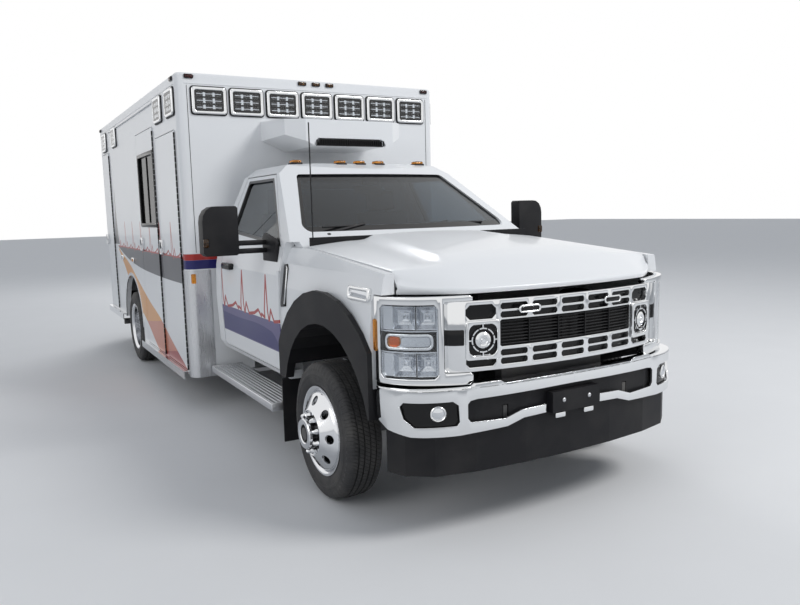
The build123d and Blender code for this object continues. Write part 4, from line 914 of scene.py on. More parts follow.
def wheel_disc(centre, out):
    disc = lathe("disc", facing(DISC, out), centre, 96)
    drills = []
    for turn in range(HAND_HOLES):
        angle = math.radians(360 / HAND_HOLES * turn)
        spot = centre + Vector((out * 0.13, HOLE_RING * math.cos(angle), HOLE_RING * math.sin(angle)))
        clear_selection()
        bpy.ops.mesh.primitive_cylinder_add(vertices=28, radius=0.0265, depth=0.12, location=spot,
                                            rotation=(0, math.pi / 2, 0))
        settle(bpy.context.object)
        drills.append(bpy.context.object)
    cut(disc, joined(drills, "drills"))
    return ease(disc, 0.0022, 2, 40)


def nut_ring(centre, stand, sign):
    nuts = []
    for turn in range(NUTS):
        angle = math.radians(360 / NUTS * (turn + 0.5))
        nut = lathe("nut", NUT, (0, 0, 0), 6)
        nut.rotation_euler = (angle, 0, 0 if sign > 0 else math.pi)
        spot = Vector((sign * stand, NUT_RING * math.cos(angle), NUT_RING * math.sin(angle)))
        nut.location = centre + spot
        settle(nut)
        nuts.append(nut)
    return joined(nuts, "nuts")


print(HAND_HOLES, "hand holes and", NUTS, "nuts a wheel")

# %% [markdown]
# A front wheel is its barrel, disc, nuts and hub ring, with a black stepped cap in the middle. Rear wheels
# are twins on one hub, so both barrels and discs go into one mesh. They could be separate pieces, but
# nothing moves between them.

# %% Wheels
for side, sign in SIDES:
    centre = Vector((sign * FRONT_WHEEL, AXLES["front"], HUB_HEIGHT))
    cap = lathe("front_hub_" + side, facing(FRONT_HUB, sign), centre, 64)
    done(cap, "gloss_black", "front_wheel_" + side, angle=32)
    parts = [lathe("barrel", BARREL, centre, 96), wheel_disc(centre, sign), nut_ring(centre, 0.151, sign),
             lathe("ring", facing(HUB_RING, sign), centre, 64)]
    rim = joined(parts, "front_wheel_disc_" + side)
    done(rim, "polished_rim", "front_wheel_" + side, replaces=["front_rim_" + side], angle=32)
    outer = Vector((sign * TWIN_OUTER, AXLES["rear"], HUB_HEIGHT))
    inner = Vector((sign * TWIN_INNER, AXLES["rear"], HUB_HEIGHT))
    middle = Vector((sign * (TWIN_OUTER + TWIN_INNER) / 2, AXLES["rear"], HUB_HEIGHT))
    parts = [lathe("barrel", BARREL, outer, 96), wheel_disc(outer, -sign), nut_ring(middle, 0.004, sign),
             lathe("hub", facing(REAR_HUB, sign), middle, 64), lathe("barrel", BARREL, inner, 64),
             lathe("disc", facing(DISC, sign), inner, 64)]
    rim = joined(parts, "rear_wheel_discs_" + side)
    done(rim, "polished_rim", "rear_wheels_" + side, replaces=["rear_rims_" + side], angle=32)

# %% [markdown]
# The warning lamps are moulded units: a rubber gasket against the wall, a bright bezel with rounded
# corners, a scalloped reflector and a clear lens, held by a screw in each corner. Modelled in place, each
# wall would need its own axes, so one is made at the origin, facing the front.

# %% Rounded outlines
def rounded(width, height, corner, steps=5, middle=(0, 0)):
    """A rounded rectangle as an outline."""
    points = []
    for quarter, (sx, sz) in enumerate(((1, 1), (-1, 1), (-1, -1), (1, -1))):
        for step in range(steps + 1):
            angle = math.radians(90 * quarter + 90 * step / steps)
            points.append((middle[0] + sx * (width / 2 - corner) + corner * math.cos(angle),
                           middle[1] + sz * (height / 2 - corner) + corner * math.sin(angle)))
    return points


print("a rounded outline has", len(rounded(1, 1, 0.1)), "corners")

# %% [markdown]
# The parts lie one behind the other along Y, a few millimetres apart. They could be one block with faces in
# several finishes, but a gap between parts gives the fine dark lines of the real unit.

# %% Warning lamp
CUT_THROUGH = (-0.1, 0.1)
gasket = ease(plate("gasket", rounded(0.303, 0.233, 0.028), "y", -0.011, 0.0), 0.002, 1)
bezel = plate("bezel", rounded(0.285, 0.215, 0.022), "y", -0.024, -0.005)
cut(bezel, plate("window", rounded(0.238, 0.168, 0.018), "y", *CUT_THROUGH))
ease(bezel, 0.005, 3)
WAVES = 40
scallops = []
for i in range(WAVES + 1):
    scallops.append((-0.119 + 0.238 * i / WAVES, -0.0135 + 0.0065 * abs(math.sin(math.pi * 3 * i / WAVES))))
reflector = plate("reflector", scallops + [(0.119, -0.001), (-0.119, -0.001)], "z", -0.084, 0.084)
RIB_HEIGHTS = (-0.054, 0.0, 0.054)
ribs = [slab("rib", (-0.117, -0.0136, z - 0.0025), (0.117, -0.008, z + 0.0025)) for z in RIB_HEIGHTS]
mask = plate("mask", rounded(0.242, 0.172, 0.019), "y", -0.0165, -0.0145)
cut(mask, plate("hole", rounded(0.206, 0.132, 0.012), "y", *CUT_THROUGH))
bands = [slab("band", (-0.104, -0.0158, z - 0.007), (0.104, -0.0138, z + 0.007)) for z in (-0.027, 0.027)]
SCREW = [(-0.0262, 0.0), (-0.0262, 0.003), (-0.0252, 0.0052), (-0.0235, 0.0058), (-0.0235, 0.0)]
screws = [lathe("screw", SCREW, (sx * 0.130, 0, sz * 0.095), 16, "y") for sx in (-1, 1) for sz in (-1, 1)]
print("one warning lamp has", len(screws), "screws and", len(ribs), "ribs")

# %% [markdown]
# Seven lamps cross the front, four stand along each side and four at the rear. All copies of one part are
# joined into one mesh, since they share a finish; one object a lamp would show the same and cost more.

# %% Warning lamps
LAMP_HEIGHT = 2.582
BODY_HALF = 1.219
BODY_FRONT = 2.290
BODY_REAR = 6.608
LAMP_PITCH = 0.319
SIDE_LAMPS = (2.505, 2.975, 5.45, 6.19)


def copies_of(master, places):
    """A copy at every (spot, turn), each with its own mesh; the master goes away."""
    copies = []
    for spot, turn in places:
        hold(master)
        bpy.ops.object.duplicate(linked=False)
        copy = bpy.context.object
        copy.location = spot
        copy.rotation_euler = (0, 0, math.radians(turn))
        settle(copy)
        copies.append(copy)
    bpy.data.objects.remove(master)
    return copies


spots = [(at(LAMP_PITCH * i, BODY_FRONT, LAMP_HEIGHT), 0) for i in range(-3, 4)]
for sign in (-1, 1):
    spots += [(at(sign * BODY_HALF, station, LAMP_HEIGHT), 90 * sign) for station in SIDE_LAMPS]
spots += [(at(x, BODY_REAR, LAMP_HEIGHT), 180) for x in (-0.98, -0.62, 0.62, 0.98)]
for name, master, finish in (("gaskets", gasket, "black_plastic"), ("frames", bezel, "chrome"),
                             ("reflectors", joined([reflector] + ribs, "reflector"), "lamp_silver"),
                             ("masks", joined([mask] + bands, "masks"), "gloss_black"),
                             ("screws", joined(screws, "screws"), "zinc_plate")):
    replaced = ["warning_bezels"] if name == "frames" else ()
    done(joined(copies_of(master, spots), "warning_" + name), finish, replaces=replaced, angle=40)
print(len(spots), "warning lamps")

# %% [markdown]
# The face bar of the bumper is one pressing with two lamp pockets and a wide middle opening. Pushing a
# cylinder's faces about would not keep its height even, so it is cut flat, bent round the plan line of the
# truck's nose and mirrored. Its shelf is bent along the same line.

# %% Front bumper
BUMPER_LINE = [(0, -0.967), (0.30, -0.957), (0.60, -0.925), (0.82, -0.872), (0.925, -0.80), (0.982, -0.71),
               (1.0, -0.62)]
BUMPER_REACH = 1.165
BAR_FACE = [(0, 0.730), (0.60, 0.722), (0.64, 0.716), (0.655, 0.700), (0.655, 0.628), (0.640, 0.608),
            (0.44, 0.602), (0.34, 0.634), (0.19, 0.640), (0.19, 0.596), (0.33, 0.590), (0.43, 0.560),
            (0.70, 0.547), (0.95, 0.550), (1.08, 0.575), (1.15, 0.61), (1.165, 0.66), (1.165, 0.752),
            (1.13, 0.775), (0.90, 0.781), (0.64, 0.784), (0.615, 0.802), (0.47, 0.802), (0.445, 0.786),
            (0, 0.790)]
LAMP_POCKET = [(0.715, 0.598), (0.93, 0.598), (0.985, 0.640), (1.005, 0.70), (0.985, 0.722), (0.735, 0.722),
               (0.705, 0.70), (0.700, 0.615)]
bar = plate("front_face_bar", BAR_FACE, "y", 0.0, 0.014)
cut(bar, plate("pocket", LAMP_POCKET, "y", -0.05, 0.05))
ease(bar, 0.006, 3)
shelf_outline = [(0.0, 0.0), (0.0, 0.09), (1.15, 0.09), (BUMPER_REACH, 0.0)]
shelf = ease(plate("front_bar_shelf", shelf_outline, "z", 0.772, 0.786), 0.004, 2)
for piece in (bar, shelf):
    bowed(piece, BUMPER_LINE, 0.025, 0.0125, BUMPER_REACH)
    done_pair(piece, "chrome", slot="chrome", angle=40)
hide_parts("front_bumper")

# %% [markdown]
# The grille is cast in one piece with its rows of slots. It could be a grid with faces deleted, but the
# slots have rounded corners and real depth. So they are cut from a blank, and the middle band stays open in
# front of black slats that run right across.

# %% Grille
GRILLE_LINE = [(0, -0.957), (0.30, -0.940), (0.55, -0.900), (0.665, -0.868), (0.72, -0.825),
               (0.740, -0.765)]
SLOT_PITCH = 0.187
BAND = (-0.2, 0.457, 0.968, 1.104, 0.010)
UPPER_POD = (0.478, 0.642, 1.113, 1.186, 0.022)
LOWER_POD = (0.478, 0.642, 0.874, 0.930, 0.018)
SPEAKER = (0.474, 0.638, 0.934, 1.086, 0.030)
OTHER_HALF = [(-1, 0), (0, 0), (0, 2), (-1, 2)]


def clipped(x0, x1, z0, z1, r):
    """A rectangle with its corners cut off, which a bevel then rounds."""
    return [(x0 + r, z0), (x1 - r, z0), (x1, z0 + r), (x1, z1 - r), (x1 - r, z1), (x0 + r, z1),
            (x0, z1 - r), (x0, z0 + r)]


openings = []
for row in (0.893, 0.936, 1.128, 1.171):
    for column in (0.0, SLOT_PITCH, 2 * SLOT_PITCH):
        openings.append(clipped(column - 0.0785, column + 0.0785, row - 0.016, row + 0.016, 0.009))
openings += [clipped(*sizes) for sizes in (BAND, UPPER_POD, LOWER_POD, SPEAKER)]
openings.append(OTHER_HALF)
lattice = plate("grille_lattice", clipped(-0.10, 0.80, 0.853, 1.207, 0.012), "y", 0.0, 0.030)
for opening in openings:
    cut(lattice, plate("opening", opening, "y", *CUT_THROUGH))
ease(lattice, 0.0035, 2)
bowed(lattice, GRILLE_LINE, 0.03, 0.015, 0.80)
done_pair(lattice, "chrome", slot="chrome", replaces=["grille"])
print(len(openings), "cuts in half a grille")

# %% [markdown]
# Behind the open band of the grille stand thin black slats, and a dark curved panel closes the whole
# opening. A dark picture would do from afar, but close by the slats shade each other. All follow the same
# bow as the grille.

# %% Grille slats
panel = slab("grille_back_panel", (-0.05, 0.032, 0.856), (0.74, 0.046, 1.204))
bowed(panel, GRILLE_LINE, 0.03, 0.0, 0.74)
done_pair(panel, "gloss_black", replaces=["grille_backing"])
SLAT_PITCH = 0.0165
bars = []
for i in range(8):
    bars.append(slab("bar", (-0.02, 0.010, 0.974 + SLAT_PITCH * i),
                     (0.452, 0.030, 0.9805 + SLAT_PITCH * i)))
for middle in (SLOT_PITCH / 2, 1.5 * SLOT_PITCH):
    bars.append(slab("post", (middle - 0.003, 0.006, 0.969), (middle + 0.003, 0.030, 1.103)))
slats = ease(joined(bars, "grille_slats"), 0.0015, 1)
bowed(slats, GRILLE_LINE, 0.03, 0.0, 0.45)
done_pair(slats, "gloss_black")
corner_band = plate("grille_corner_band", clipped(0.650, 0.790, 0.987, 1.066, 0.004), "y", -0.0025, 0.008)
ease(corner_band, 0.002, 2)
bowed(corner_band, GRILLE_LINE, 0.02, 0.66, 0.79)
done_pair(corner_band, "gloss_black")

# %% [markdown]
# A siren speaker fills each end of the grille: a bright plate with a rounded opening, a slotted ring on
# four spokes and a domed horn with rings. It could be bent with the grille, but a speaker is flat, so it is
# laid out at the origin and set on the bow.

# %% Siren speakers
SIREN_SPOT = (0.5515, -0.9075, 1.010)
SIREN_TURN = 13.5
HORN = [(-0.010, 0.0), (-0.009, 0.010), (-0.004, 0.014), (-0.004, 0.018), (-0.009, 0.022), (-0.010, 0.030),
        (-0.006, 0.036), (-0.003, 0.041), (0.008, 0.042), (0.008, 0.0)]
def set_on(piece, spot, turn):
    """Turns a piece about the upright and moves it to its station."""
    piece.rotation_euler = (0, 0, math.radians(turn))
    piece.location = at(*spot)
    settle(piece)
    return piece


face = plate("face", rounded(0.184, 0.198, 0.016), "y", -0.006, 0.008)
cut(face, plate("hole", rounded(0.150, 0.158, 0.036), "y", *CUT_THROUGH))
ease(face, 0.004, 3)
RING = [(0.006, 0.055), (-0.006, 0.056), (-0.006, 0.0625), (0.006, 0.0635)]
ring = lathe("ring", RING, (0, 0, 0), 48, "y")
spokes = []
for turn in (0, 90, 180, 270):
    spoke = slab("spoke", (0.060, -0.003, -0.003), (0.082, 0.005, 0.003))
    spoke.rotation_euler = (0, math.radians(turn), 0)
    settle(spoke)
    spokes.append(spoke)
horn = lathe("horn", HORN, (0, 0, 0), 48, "y")
siren = joined([face, ring] + spokes + [horn], "siren_plates")
done_pair(set_on(siren, SIREN_SPOT, SIREN_TURN), "chrome", angle=40)
siren_back = slab("siren_backs", (-0.086, 0.009, -0.092), (0.086, 0.020, 0.092))
done_pair(set_on(siren_back, SIREN_SPOT, SIREN_TURN), "gloss_black")

# %% [markdown]
# Eight short slots mark the speaker's ring. They could be cut, but the ring is only a few millimetres
# thick, so dark teeth stand a hair proud of it: painted shade that reads as the open slots. Further in, a
# small strobe sits in the upper row of the grille's slots.

# %% Ring slots and strobes
SLOT_RING = 0.0592
STROBE_SPOT = (0.288, -0.9445, 1.150)
STROBE_TURN = 4.5
# Each dark tooth is painted shade where an open slot would be dark inside.
teeth = []
for turn in range(8):
    tooth = slab("tooth", (-0.003, -0.0070, -0.0048), (0.003, -0.0045, 0.0048))
    angle = math.radians(45 * turn + 22.5)
    tooth.rotation_euler = (0, angle, 0)
    tooth.location = (SLOT_RING * math.sin(angle), 0, SLOT_RING * math.cos(angle))
    settle(tooth)
    teeth.append(tooth)
done_pair(set_on(joined(teeth, "siren_ring_slots"), SIREN_SPOT, SIREN_TURN), "gloss_black")
strobe = plate("strobe_frames", rounded(0.135, 0.040, 0.0195, 8), "y", -0.012, 0.004)
cut(strobe, plate("hole", rounded(0.112, 0.022, 0.0105, 8), "y", *CUT_THROUGH))
ease(strobe, 0.004, 3)
done_pair(set_on(strobe, STROBE_SPOT, STROBE_TURN), "chrome", angle=40)
strobe_lens = ease(plate("strobe_lenses", rounded(0.110, 0.020, 0.0095, 8), "y", -0.008, 0.0), 0.003, 2)
done_pair(set_on(strobe_lens, STROBE_SPOT, STROBE_TURN), "gloss_black")

# %% [markdown]
# The headlamp sits in a C-shaped chrome surround whose two arms reach in above and below the end of the
# grille. A box carved in place would miss the round corner of the truck, so surround, bucket and cover are
# cut flat, eased and bent along one line.

# %% Headlamp surrounds
LAMP_LINE = [(0.600, -0.890), (0.662, -0.878), (0.770, -0.835), (0.870, -0.775), (0.940, -0.700),
             (0.978, -0.627), (0.988, -0.565)]
LAMP_END = 0.545


def lamp_piece(piece, finish, edge=0.0, **kinds):
    """Eases, bends and doubles one piece of the headlamp."""
    if edge:
        ease(piece, edge, 3 if edge > 0.002 else 1)
    bowed(piece, LAMP_LINE, 0.02, 0.02, 0.53)
    return done_pair(piece, finish, **kinds)


SURROUND = [(0.0, 1.209), (0.142, 1.209), (0.150, 1.200), (0.150, 0.862), (0.142, 0.851), (0.012, 0.851),
            (0.0, 0.838), (0.0, 0.806), (0.020, 0.792), (0.500, 0.800), (LAMP_END, 0.815),
            (LAMP_END, 1.205), (0.520, 1.235), (0.018, 1.236), (0.0, 1.228)]
surround = plate("headlamp_surrounds", SURROUND, "y", -0.004, 0.040)
cut(surround, plate("window", clipped(0.176, 0.482, 0.828, 1.196, 0.020), "y", *CUT_THROUGH))
lamp_piece(surround, "chrome", 0.007, replaces=["headlamp_bezels"], angle=40)
bucket = slab("headlamp_buckets", (0.150, 0.030, 0.812), (0.500, 0.100, 1.212))
cut(bucket, slab("room", (0.160, -0.1, 0.822), (0.490, 0.092, 1.202)))
lamp_piece(bucket, "gloss_black")
cover = plate("headlamp_covers", clipped(0.179, 0.479, 0.831, 1.193, 0.018), "y", 0.004, 0.008)
lamp_piece(cover, "clear_lens", replaces=["headlamp_lenses"])

# %% [markdown]
# Inside, bright shelves part the two main lamps from a light strip with a turn light at its end. One
# textured sheet could hint at all this, but the clear cover shows real depth, so each part is its own thin
# piece on the lamp's line.

# %% Headlamp insides
STRIP_MIDDLE = (0.330, 1.011)
shelves = [slab("shelf", (0.172, 0.016, z - 0.004), (0.482, 0.085, z + 0.004)) for z in (0.958, 1.064)]
shelves.append(slab("upright", (0.176, 0.012, 0.832), (0.184, 0.085, 1.194)))
lamp_piece(joined(shelves, "headlamp_shelves"), "lamp_silver", 0.0015)
for name, low, high in (("upper", 1.070, 1.190), ("lower", 0.835, 0.952)):
    column = slab("headlamp_column_" + name, (0.414, 0.016, low), (0.484, 0.024, high))
    lamp_piece(column, "lamp_silver", 0.002)
strip = plate("headlamp_strips", rounded(0.262, 0.082, 0.030, 6, STRIP_MIDDLE), "y", 0.012, 0.030)
cut(strip, plate("hole", rounded(0.236, 0.054, 0.020, 6, STRIP_MIDDLE), "y", *CUT_THROUGH))
lamp_piece(strip, "chrome", 0.004, angle=40)
strip_back = plate("headlamp_strip_backs", rounded(0.240, 0.060, 0.020, 6, STRIP_MIDDLE), "y", 0.030, 0.034)
lamp_piece(strip_back, "lamp_silver")
light_outline = rounded(0.158, 0.050, 0.018, 6, (0.294, STRIP_MIDDLE[1]))
strip_light = plate("headlamp_strip_lights", light_outline, "y", 0.022, 0.028)
lamp_piece(strip_light, "lamp_silver", 0.002)
turn_outline = rounded(0.066, 0.050, 0.018, 6, (0.412, STRIP_MIDDLE[1]))
turn_light = plate("headlamp_turn_lights", turn_outline, "y", 0.020, 0.028)
lamp_piece(turn_light, "amber_lens", 0.002)
marker_outline = rounded(0.030, 0.165, 0.014, 6, (0.515, 1.040))
side_marker = plate("headlamp_side_markers", marker_outline, "y", -0.010, 0.004)
lamp_piece(side_marker, "amber_lens", 0.004)

# %% [markdown]
# Each main lamp is a pair of square stepped bowls round a small bulb shield, the way crystalline reflectors
# are pressed. A round bowl would look old, so the stepped section is spun in four steps, which makes it
# square.

# %% Headlamp reflectors
BOWL_SECTION = [(0.0, 0.057), (0.012, 0.050), (0.026, 0.038), (0.036, 0.022), (0.038, 0.010),
                (0.026, 0.010), (0.020, 0.0), (0.044, 0.0), (0.046, 0.030), (0.034, 0.050), (0.004, 0.061),
                (-0.002, 0.060)]
SQUARE_REACH = 1.36
bowls = []
for x, station, turn in ((0.797, -0.792, 28), (0.890, -0.716, 43)):
    for z in (1.129, 0.893):
        bowl = lathe("bowl", [(a, SQUARE_REACH * r) for a, r in BOWL_SECTION], (0, 0, 0), 4, "y")
        bowl.rotation_euler = (0, math.radians(45), 0)
        settle(bowl)
        bowls.append(set_on(bowl, (x, station, z), turn))
done_pair(joined(bowls, "headlamp_reflectors"), "lamp_silver", angle=12)

# %% [markdown]
# The fog lamps sit in the bumper's pockets before a black panel. A flat disc would look painted on, so ring
# and glass are both turned.

# %% Fog lamps
FOG_SPOT = (0.795, -0.866, 0.662)
FOG_TURN = 23
FOG_RING = [(-0.004, 0.032), (-0.007, 0.036), (-0.003, 0.040), (0.012, 0.041), (0.030, 0.036), (0.030, 0.0),
            (0.026, 0.0), (0.020, 0.020), (0.004, 0.031)]
FOG_GLASS = [(-0.008, 0.0), (-0.006, 0.012), (-0.002, 0.024), (0.002, 0.0325), (0.005, 0.0325),
             (0.005, 0.0)]
fog = lathe("fog_lamps", FOG_RING, (0, 0, 0), 40, "y")
done_pair(set_on(fog, FOG_SPOT, FOG_TURN), "chrome", angle=40)
fog_glass = lathe("fog_glasses", FOG_GLASS, (0, 0, 0), 40, "y")
done_pair(set_on(fog_glass, FOG_SPOT, FOG_TURN), "lamp_silver")
fog_panel = slab("fog_panels", (0.69, 0.020, 0.585), (1.02, 0.030, 0.730))
bowed(fog_panel, BUMPER_LINE, 0.03, 0.70, 1.02)
done_pair(fog_panel, "gloss_black")

# %% [markdown]
# Two screws hold the bracket, and two small bright trims stand below it. Screws could be a bump in the
# finish, but at this size their domed heads catch the light, so they are turned.

# %% Bracket screws and lower trims
HEAD_SECTION = [(-0.9855, 0.0), (-0.991, 0.003), (-0.9905, 0.008), (-0.9875, 0.0115), (-0.984, 0.0115),
                (-0.984, 0.0)]
screws = [lathe("screw", HEAD_SECTION, at(x, 0, 0.652), 20, "y") for x in (-0.0889, 0.0889)]
done(joined(screws, "bracket_screws"), "zinc_plate")
lips = []
for x in (-0.10, 0.10):
    lips.append(ease(slab("lip", at(x - 0.035, -0.9735, 0.556), at(x + 0.035, -0.955, 0.584)), 0.006, 2))
done(joined(lips, "bumper_lower_trims"), "chrome")

# %% [markdown]
# The mirrors are the tall towing kind: a rounded black shell with the outer top corner cut back, two
# glasses, an amber lamp at the outer edge, and a double arm off a sail plate on the door. Each side could
# be built anew, but the left one is made and mirrored, so both match.

# %% Mirrors
HEAD = [(1.185, 1.395), (1.200, 1.385), (1.400, 1.385), (1.420, 1.405), (1.420, 1.610), (1.413, 1.650),
        (1.393, 1.685), (1.360, 1.706), (1.325, 1.710), (1.195, 1.710), (1.183, 1.695)]
HOLLOW = [(1.198, 1.400), (1.405, 1.400), (1.405, 1.610), (1.397, 1.650), (1.365, 1.688), (1.325, 1.695),
          (1.198, 1.695)]
SAIL = [(0.765, 1.335), (1.035, 1.335), (1.035, 1.500), (0.985, 1.525), (0.800, 1.490), (0.765, 1.46)]


def side_plate(name, outline, low, high):
    """A plate on the vehicle's side, its outline in stations and heights."""
    return plate(name, [(station + STATION, z) for station, z in outline], "x", low, high)


shell = plate("shell", HEAD, "y", 0.938 + STATION, 1.048 + STATION)
cut(shell, plate("hollow", HOLLOW, "y", 1.034 + STATION, 1.2 + STATION))
ease(shell, 0.016, 4, 50)
arms = []
for z in (1.392, 1.446):
    arms.append(ease(slab("arm", at(0.985, 0.950, z), at(1.200, 1.000, z + 0.034)), 0.010, 3))
sail = ease(side_plate("sail", SAIL, 0.968, 0.992), 0.006, 2)
housing = joined([shell] + arms + [sail], "mirror_shell_left")
glasses = []
for low, high in ((1.405, 1.490), (1.500, 1.640)):
    glasses.append(ease(slab("glass", at(1.203, 1.036, low), at(1.400, 1.041, high)), 0.003, 2))
glass = joined(glasses, "mirror_glass_left")
light = ease(slab("mirror_lamp_left", at(1.385, 0.928, 1.445), at(1.421, 0.945, 1.500)), 0.006, 3)
for part, piece, finish, angle in (("shell", housing, "black_plastic", 40), ("glass", glass, "chrome", 35),
                                   ("lamp", light, "amber_lens", 35)):
    pair = {"left": piece, "right": mirrored(piece, "mirror_%s_right" % part)}
    for side, half in pair.items():
        replaced = ["mirror_" + side] if part == "shell" else ()
        done(half, finish, "cab_door_" + side, replaces=replaced, angle=angle)

# %% [markdown]
# The hood is one pressing: it crowns across, falls away over the grille, and carries a raised middle whose
# edges run from the windscreen to the corners of the grille. Subdivision modelling would need many control
# edges, so its height is written as a sum of plain shapes.

# %% Hood shape
HOOD_WIDE = 0.892
HOOD_CORNER = 0.6
CORNER_WIDE = HOOD_WIDE - HOOD_CORNER
HOOD_BACK = 0.460
HOOD_FOOT = 1.240
FRONT_EDGE = 1.262
DOME_RISE = 0.020
VALLEY_DROP = 0.004


def eased_step(value):
    """0 below 0, 1 above 1 and a soft rise between."""
    value = max(0.0, min(1.0, value))
    return value * value * (3 - 2 * value)


def hood_front(x):
    """The station of the front edge, a slow bow that turns back fast at the corners."""
    if abs(x) < HOOD_CORNER:
        return -0.925 + 0.060 * (x / HOOD_CORNER) ** 2
    return -0.865 + 0.205 * ((abs(x) - HOOD_CORNER) / CORNER_WIDE) ** 1.3


def hood_break(x):
    """Where the top turns down into the front face."""
    return -0.650 + 0.035 * (max(0.0, abs(x) - HOOD_CORNER) / CORNER_WIDE) ** 2


def hood_crown(x, station):
    """The sheet's height without its fall and its dome."""
    return 1.400 - 0.048 * (x / HOOD_WIDE) ** 2 + 0.0826 * (station + 0.65)


def hood_height(x, station):
    front, turn = hood_front(x), hood_break(x)
    share = (turn - station) / (turn - front)
    fall = (math.sqrt(share * share + 0.012) + share) / 2
    crown = hood_crown(x, station) - (hood_crown(x, front) - FRONT_EDGE) * fall
    dome_half = 0.46 + 0.15 * (HOOD_BACK - station) / 1.33
    strength = eased_step((station - turn + 0.04) / 0.22)
    dome = eased_step((dome_half - abs(x)) / 0.085 + 0.5)
    valley = math.exp(-((abs(x) - dome_half - 0.075) / 0.06) ** 2)
    return crown + strength * (DOME_RISE * dome - VALLEY_DROP * valley)


print("hood is", round(hood_height(0, 0), 3), "m high over the front axle")

# %% [markdown]
# A flat grid is set to that height row by row. Its first rows are crowded together at the front, where the
# sheet turns down, and a solidify modifier gives it its thickness. Two notches at the back clear the
# hinges.

# %% Hood
HOOD_COLUMNS = 72
HOOD_ROWS = 64
FOLD = 0.018
FOOT_ROWS = ((0.014, 0.0), (0.006, 0.006), (0.0, 0.5), (0.003, 0.8), (0.009, 0.94), (FOLD, 1.0))
clear_selection()
bpy.ops.mesh.primitive_grid_add(x_subdivisions=HOOD_COLUMNS, y_subdivisions=HOOD_ROWS, size=2)
hood = bpy.context.object
hood.name = "hood_pressing"
for vertex in hood.data.vertices:
    x = vertex.co.x * HOOD_WIDE
    row = round((vertex.co.y + 1) * HOOD_ROWS / 2)
    front = hood_front(x)
    if row < len(FOOT_ROWS):
        back, rise = FOOT_ROWS[row]
        station = front + back
        z = HOOD_FOOT + rise * (hood_height(x, front + FOLD) - HOOD_FOOT)
    else:
        share = (row - len(FOOT_ROWS) + 1) / (HOOD_ROWS - len(FOOT_ROWS) + 1)
        station = front + FOLD + share * (HOOD_BACK - front - FOLD)
        z = hood_height(x, station)
    vertex.co = at(x, station, z)
turned_out(hood)
use(hood, "SOLIDIFY", thickness=0.022, offset=-1.0)
for x in (-0.300, 0.300):
    cut(hood, slab("hinge_notch", at(x - 0.018, 0.434, 1.300), at(x + 0.018, 0.520, 1.700)))
ease(hood, 0.004, 2, 60)
done(hood, "white_paint", "hood", replaces=["hood"], angle=50)
print("hood", [round(v, 3) for v in hood.dimensions])

# %% [markdown]
# On each fender sit a chrome warning lamp by the hood line and a black side vent with a bright strip beside
# the door. They could be turned to the fender, but its side is nearly flat, so upright plates are cut and
# then leaned in above a height.

# %% Fender fittings
FENDER_LEAN = -0.15
LAMP_PIVOT = 1.20
VENT_PIVOT = 1.03
FENDER_LAMP = (-0.43, 1.233)
VENT = [(0.600, 1.060), (0.672, 1.050), (0.682, 1.070), (0.684, 1.325), (0.640, 1.330), (0.615, 1.300)]
VENT_STRIP = [(0.604, 1.075), (0.616, 1.073), (0.631, 1.300), (0.644, 1.318), (0.636, 1.320),
              (0.618, 1.298)]


def leaned(piece, pivot):
    """Leans a piece inwards above a height."""
    for vertex in piece.data.vertices:
        vertex.co.x += FENDER_LEAN * (vertex.co.z - pivot)
    return piece


lamp_frame = side_plate("fender_lamp_frames", rounded(0.245, 0.072, 0.020, 5, FENDER_LAMP), 0.966, 1.006)
cut(lamp_frame, side_plate("hole", rounded(0.205, 0.038, 0.012, 5, FENDER_LAMP), 0.998, 1.1))
done_pair(leaned(ease(lamp_frame, 0.006, 3), LAMP_PIVOT), "chrome", angle=40)
lamp_light = side_plate("fender_lamp_lights", rounded(0.202, 0.035, 0.011, 5, FENDER_LAMP), 0.996, 1.003)
done_pair(leaned(ease(lamp_light, 0.003, 2), LAMP_PIVOT), "lamp_silver")
vent = side_plate("fender_vents", VENT, 0.990, 1.017)
done_pair(leaned(ease(vent, 0.005, 2), VENT_PIVOT), "gloss_black")
vent_strip = side_plate("fender_vent_strips", VENT_STRIP, 1.012, 1.021)
done_pair(leaned(ease(vent_strip, 0.002, 2), VENT_PIVOT), "chrome")

# %% [markdown]
# The body's front corners carry brushed stone guards up to the stripes. A thickened copy of the corner
# would need its faces picked out, so the sheet is a thin outline that follows the round post in plan,
# extruded upwards.

# %% Stone guards
POST = 0.070
POST_STEPS = 8
corner_line = [(1.020, BODY_FRONT), (BODY_HALF - POST, BODY_FRONT)]
for step in range(1, POST_STEPS + 1):
    angle = math.radians(90 * step / POST_STEPS)
    corner_line.append((BODY_HALF - POST + POST * math.sin(angle),
                        BODY_FRONT + POST - POST * math.cos(angle)))
corner_line.append((BODY_HALF, 2.414))


def off_corner(gap):
    """The corner line moved outwards."""
    moved = []
    for x, station in corner_line:
        away = Vector((max(0.0, x - (BODY_HALF - POST)), min(0.0, station - (BODY_FRONT + POST)), 0))
        away = away.normalized() * gap if away.length > 0.001 else Vector((0, -gap, 0))
        moved.append((x + away.x, station + STATION + away.y))
    return moved


guard = plate("stone_guards", off_corner(0.003) + off_corner(0.0)[::-1], "z", 0.290, 1.200)
done_pair(guard, "stainless")

# %% [markdown]
# A row of rivets holds each guard's front edge, and an amber marker stands near its top. One rivet is a
# turned dome, repeated at an even pitch.

# %% Rivets and corner markers
RIVETS = 12
RIVET_PITCH = 0.075
RIVET = [(-0.0022, 0.0), (-0.0018, 0.003), (0.0, 0.0042), (0.001, 0.0)]
rivets = []
for step in range(RIVETS):
    rivets.append(lathe("rivet", RIVET, at(1.032, 2.286, 0.33 + RIVET_PITCH * step), 12, "y"))
done_pair(joined(rivets, "guard_rivets"), "stainless")
corner_marker = slab("corner_markers", at(1.148, 2.278, 1.090), at(1.186, 2.300, 1.170))
done_pair(ease(corner_marker, 0.006, 3), "amber_lens")

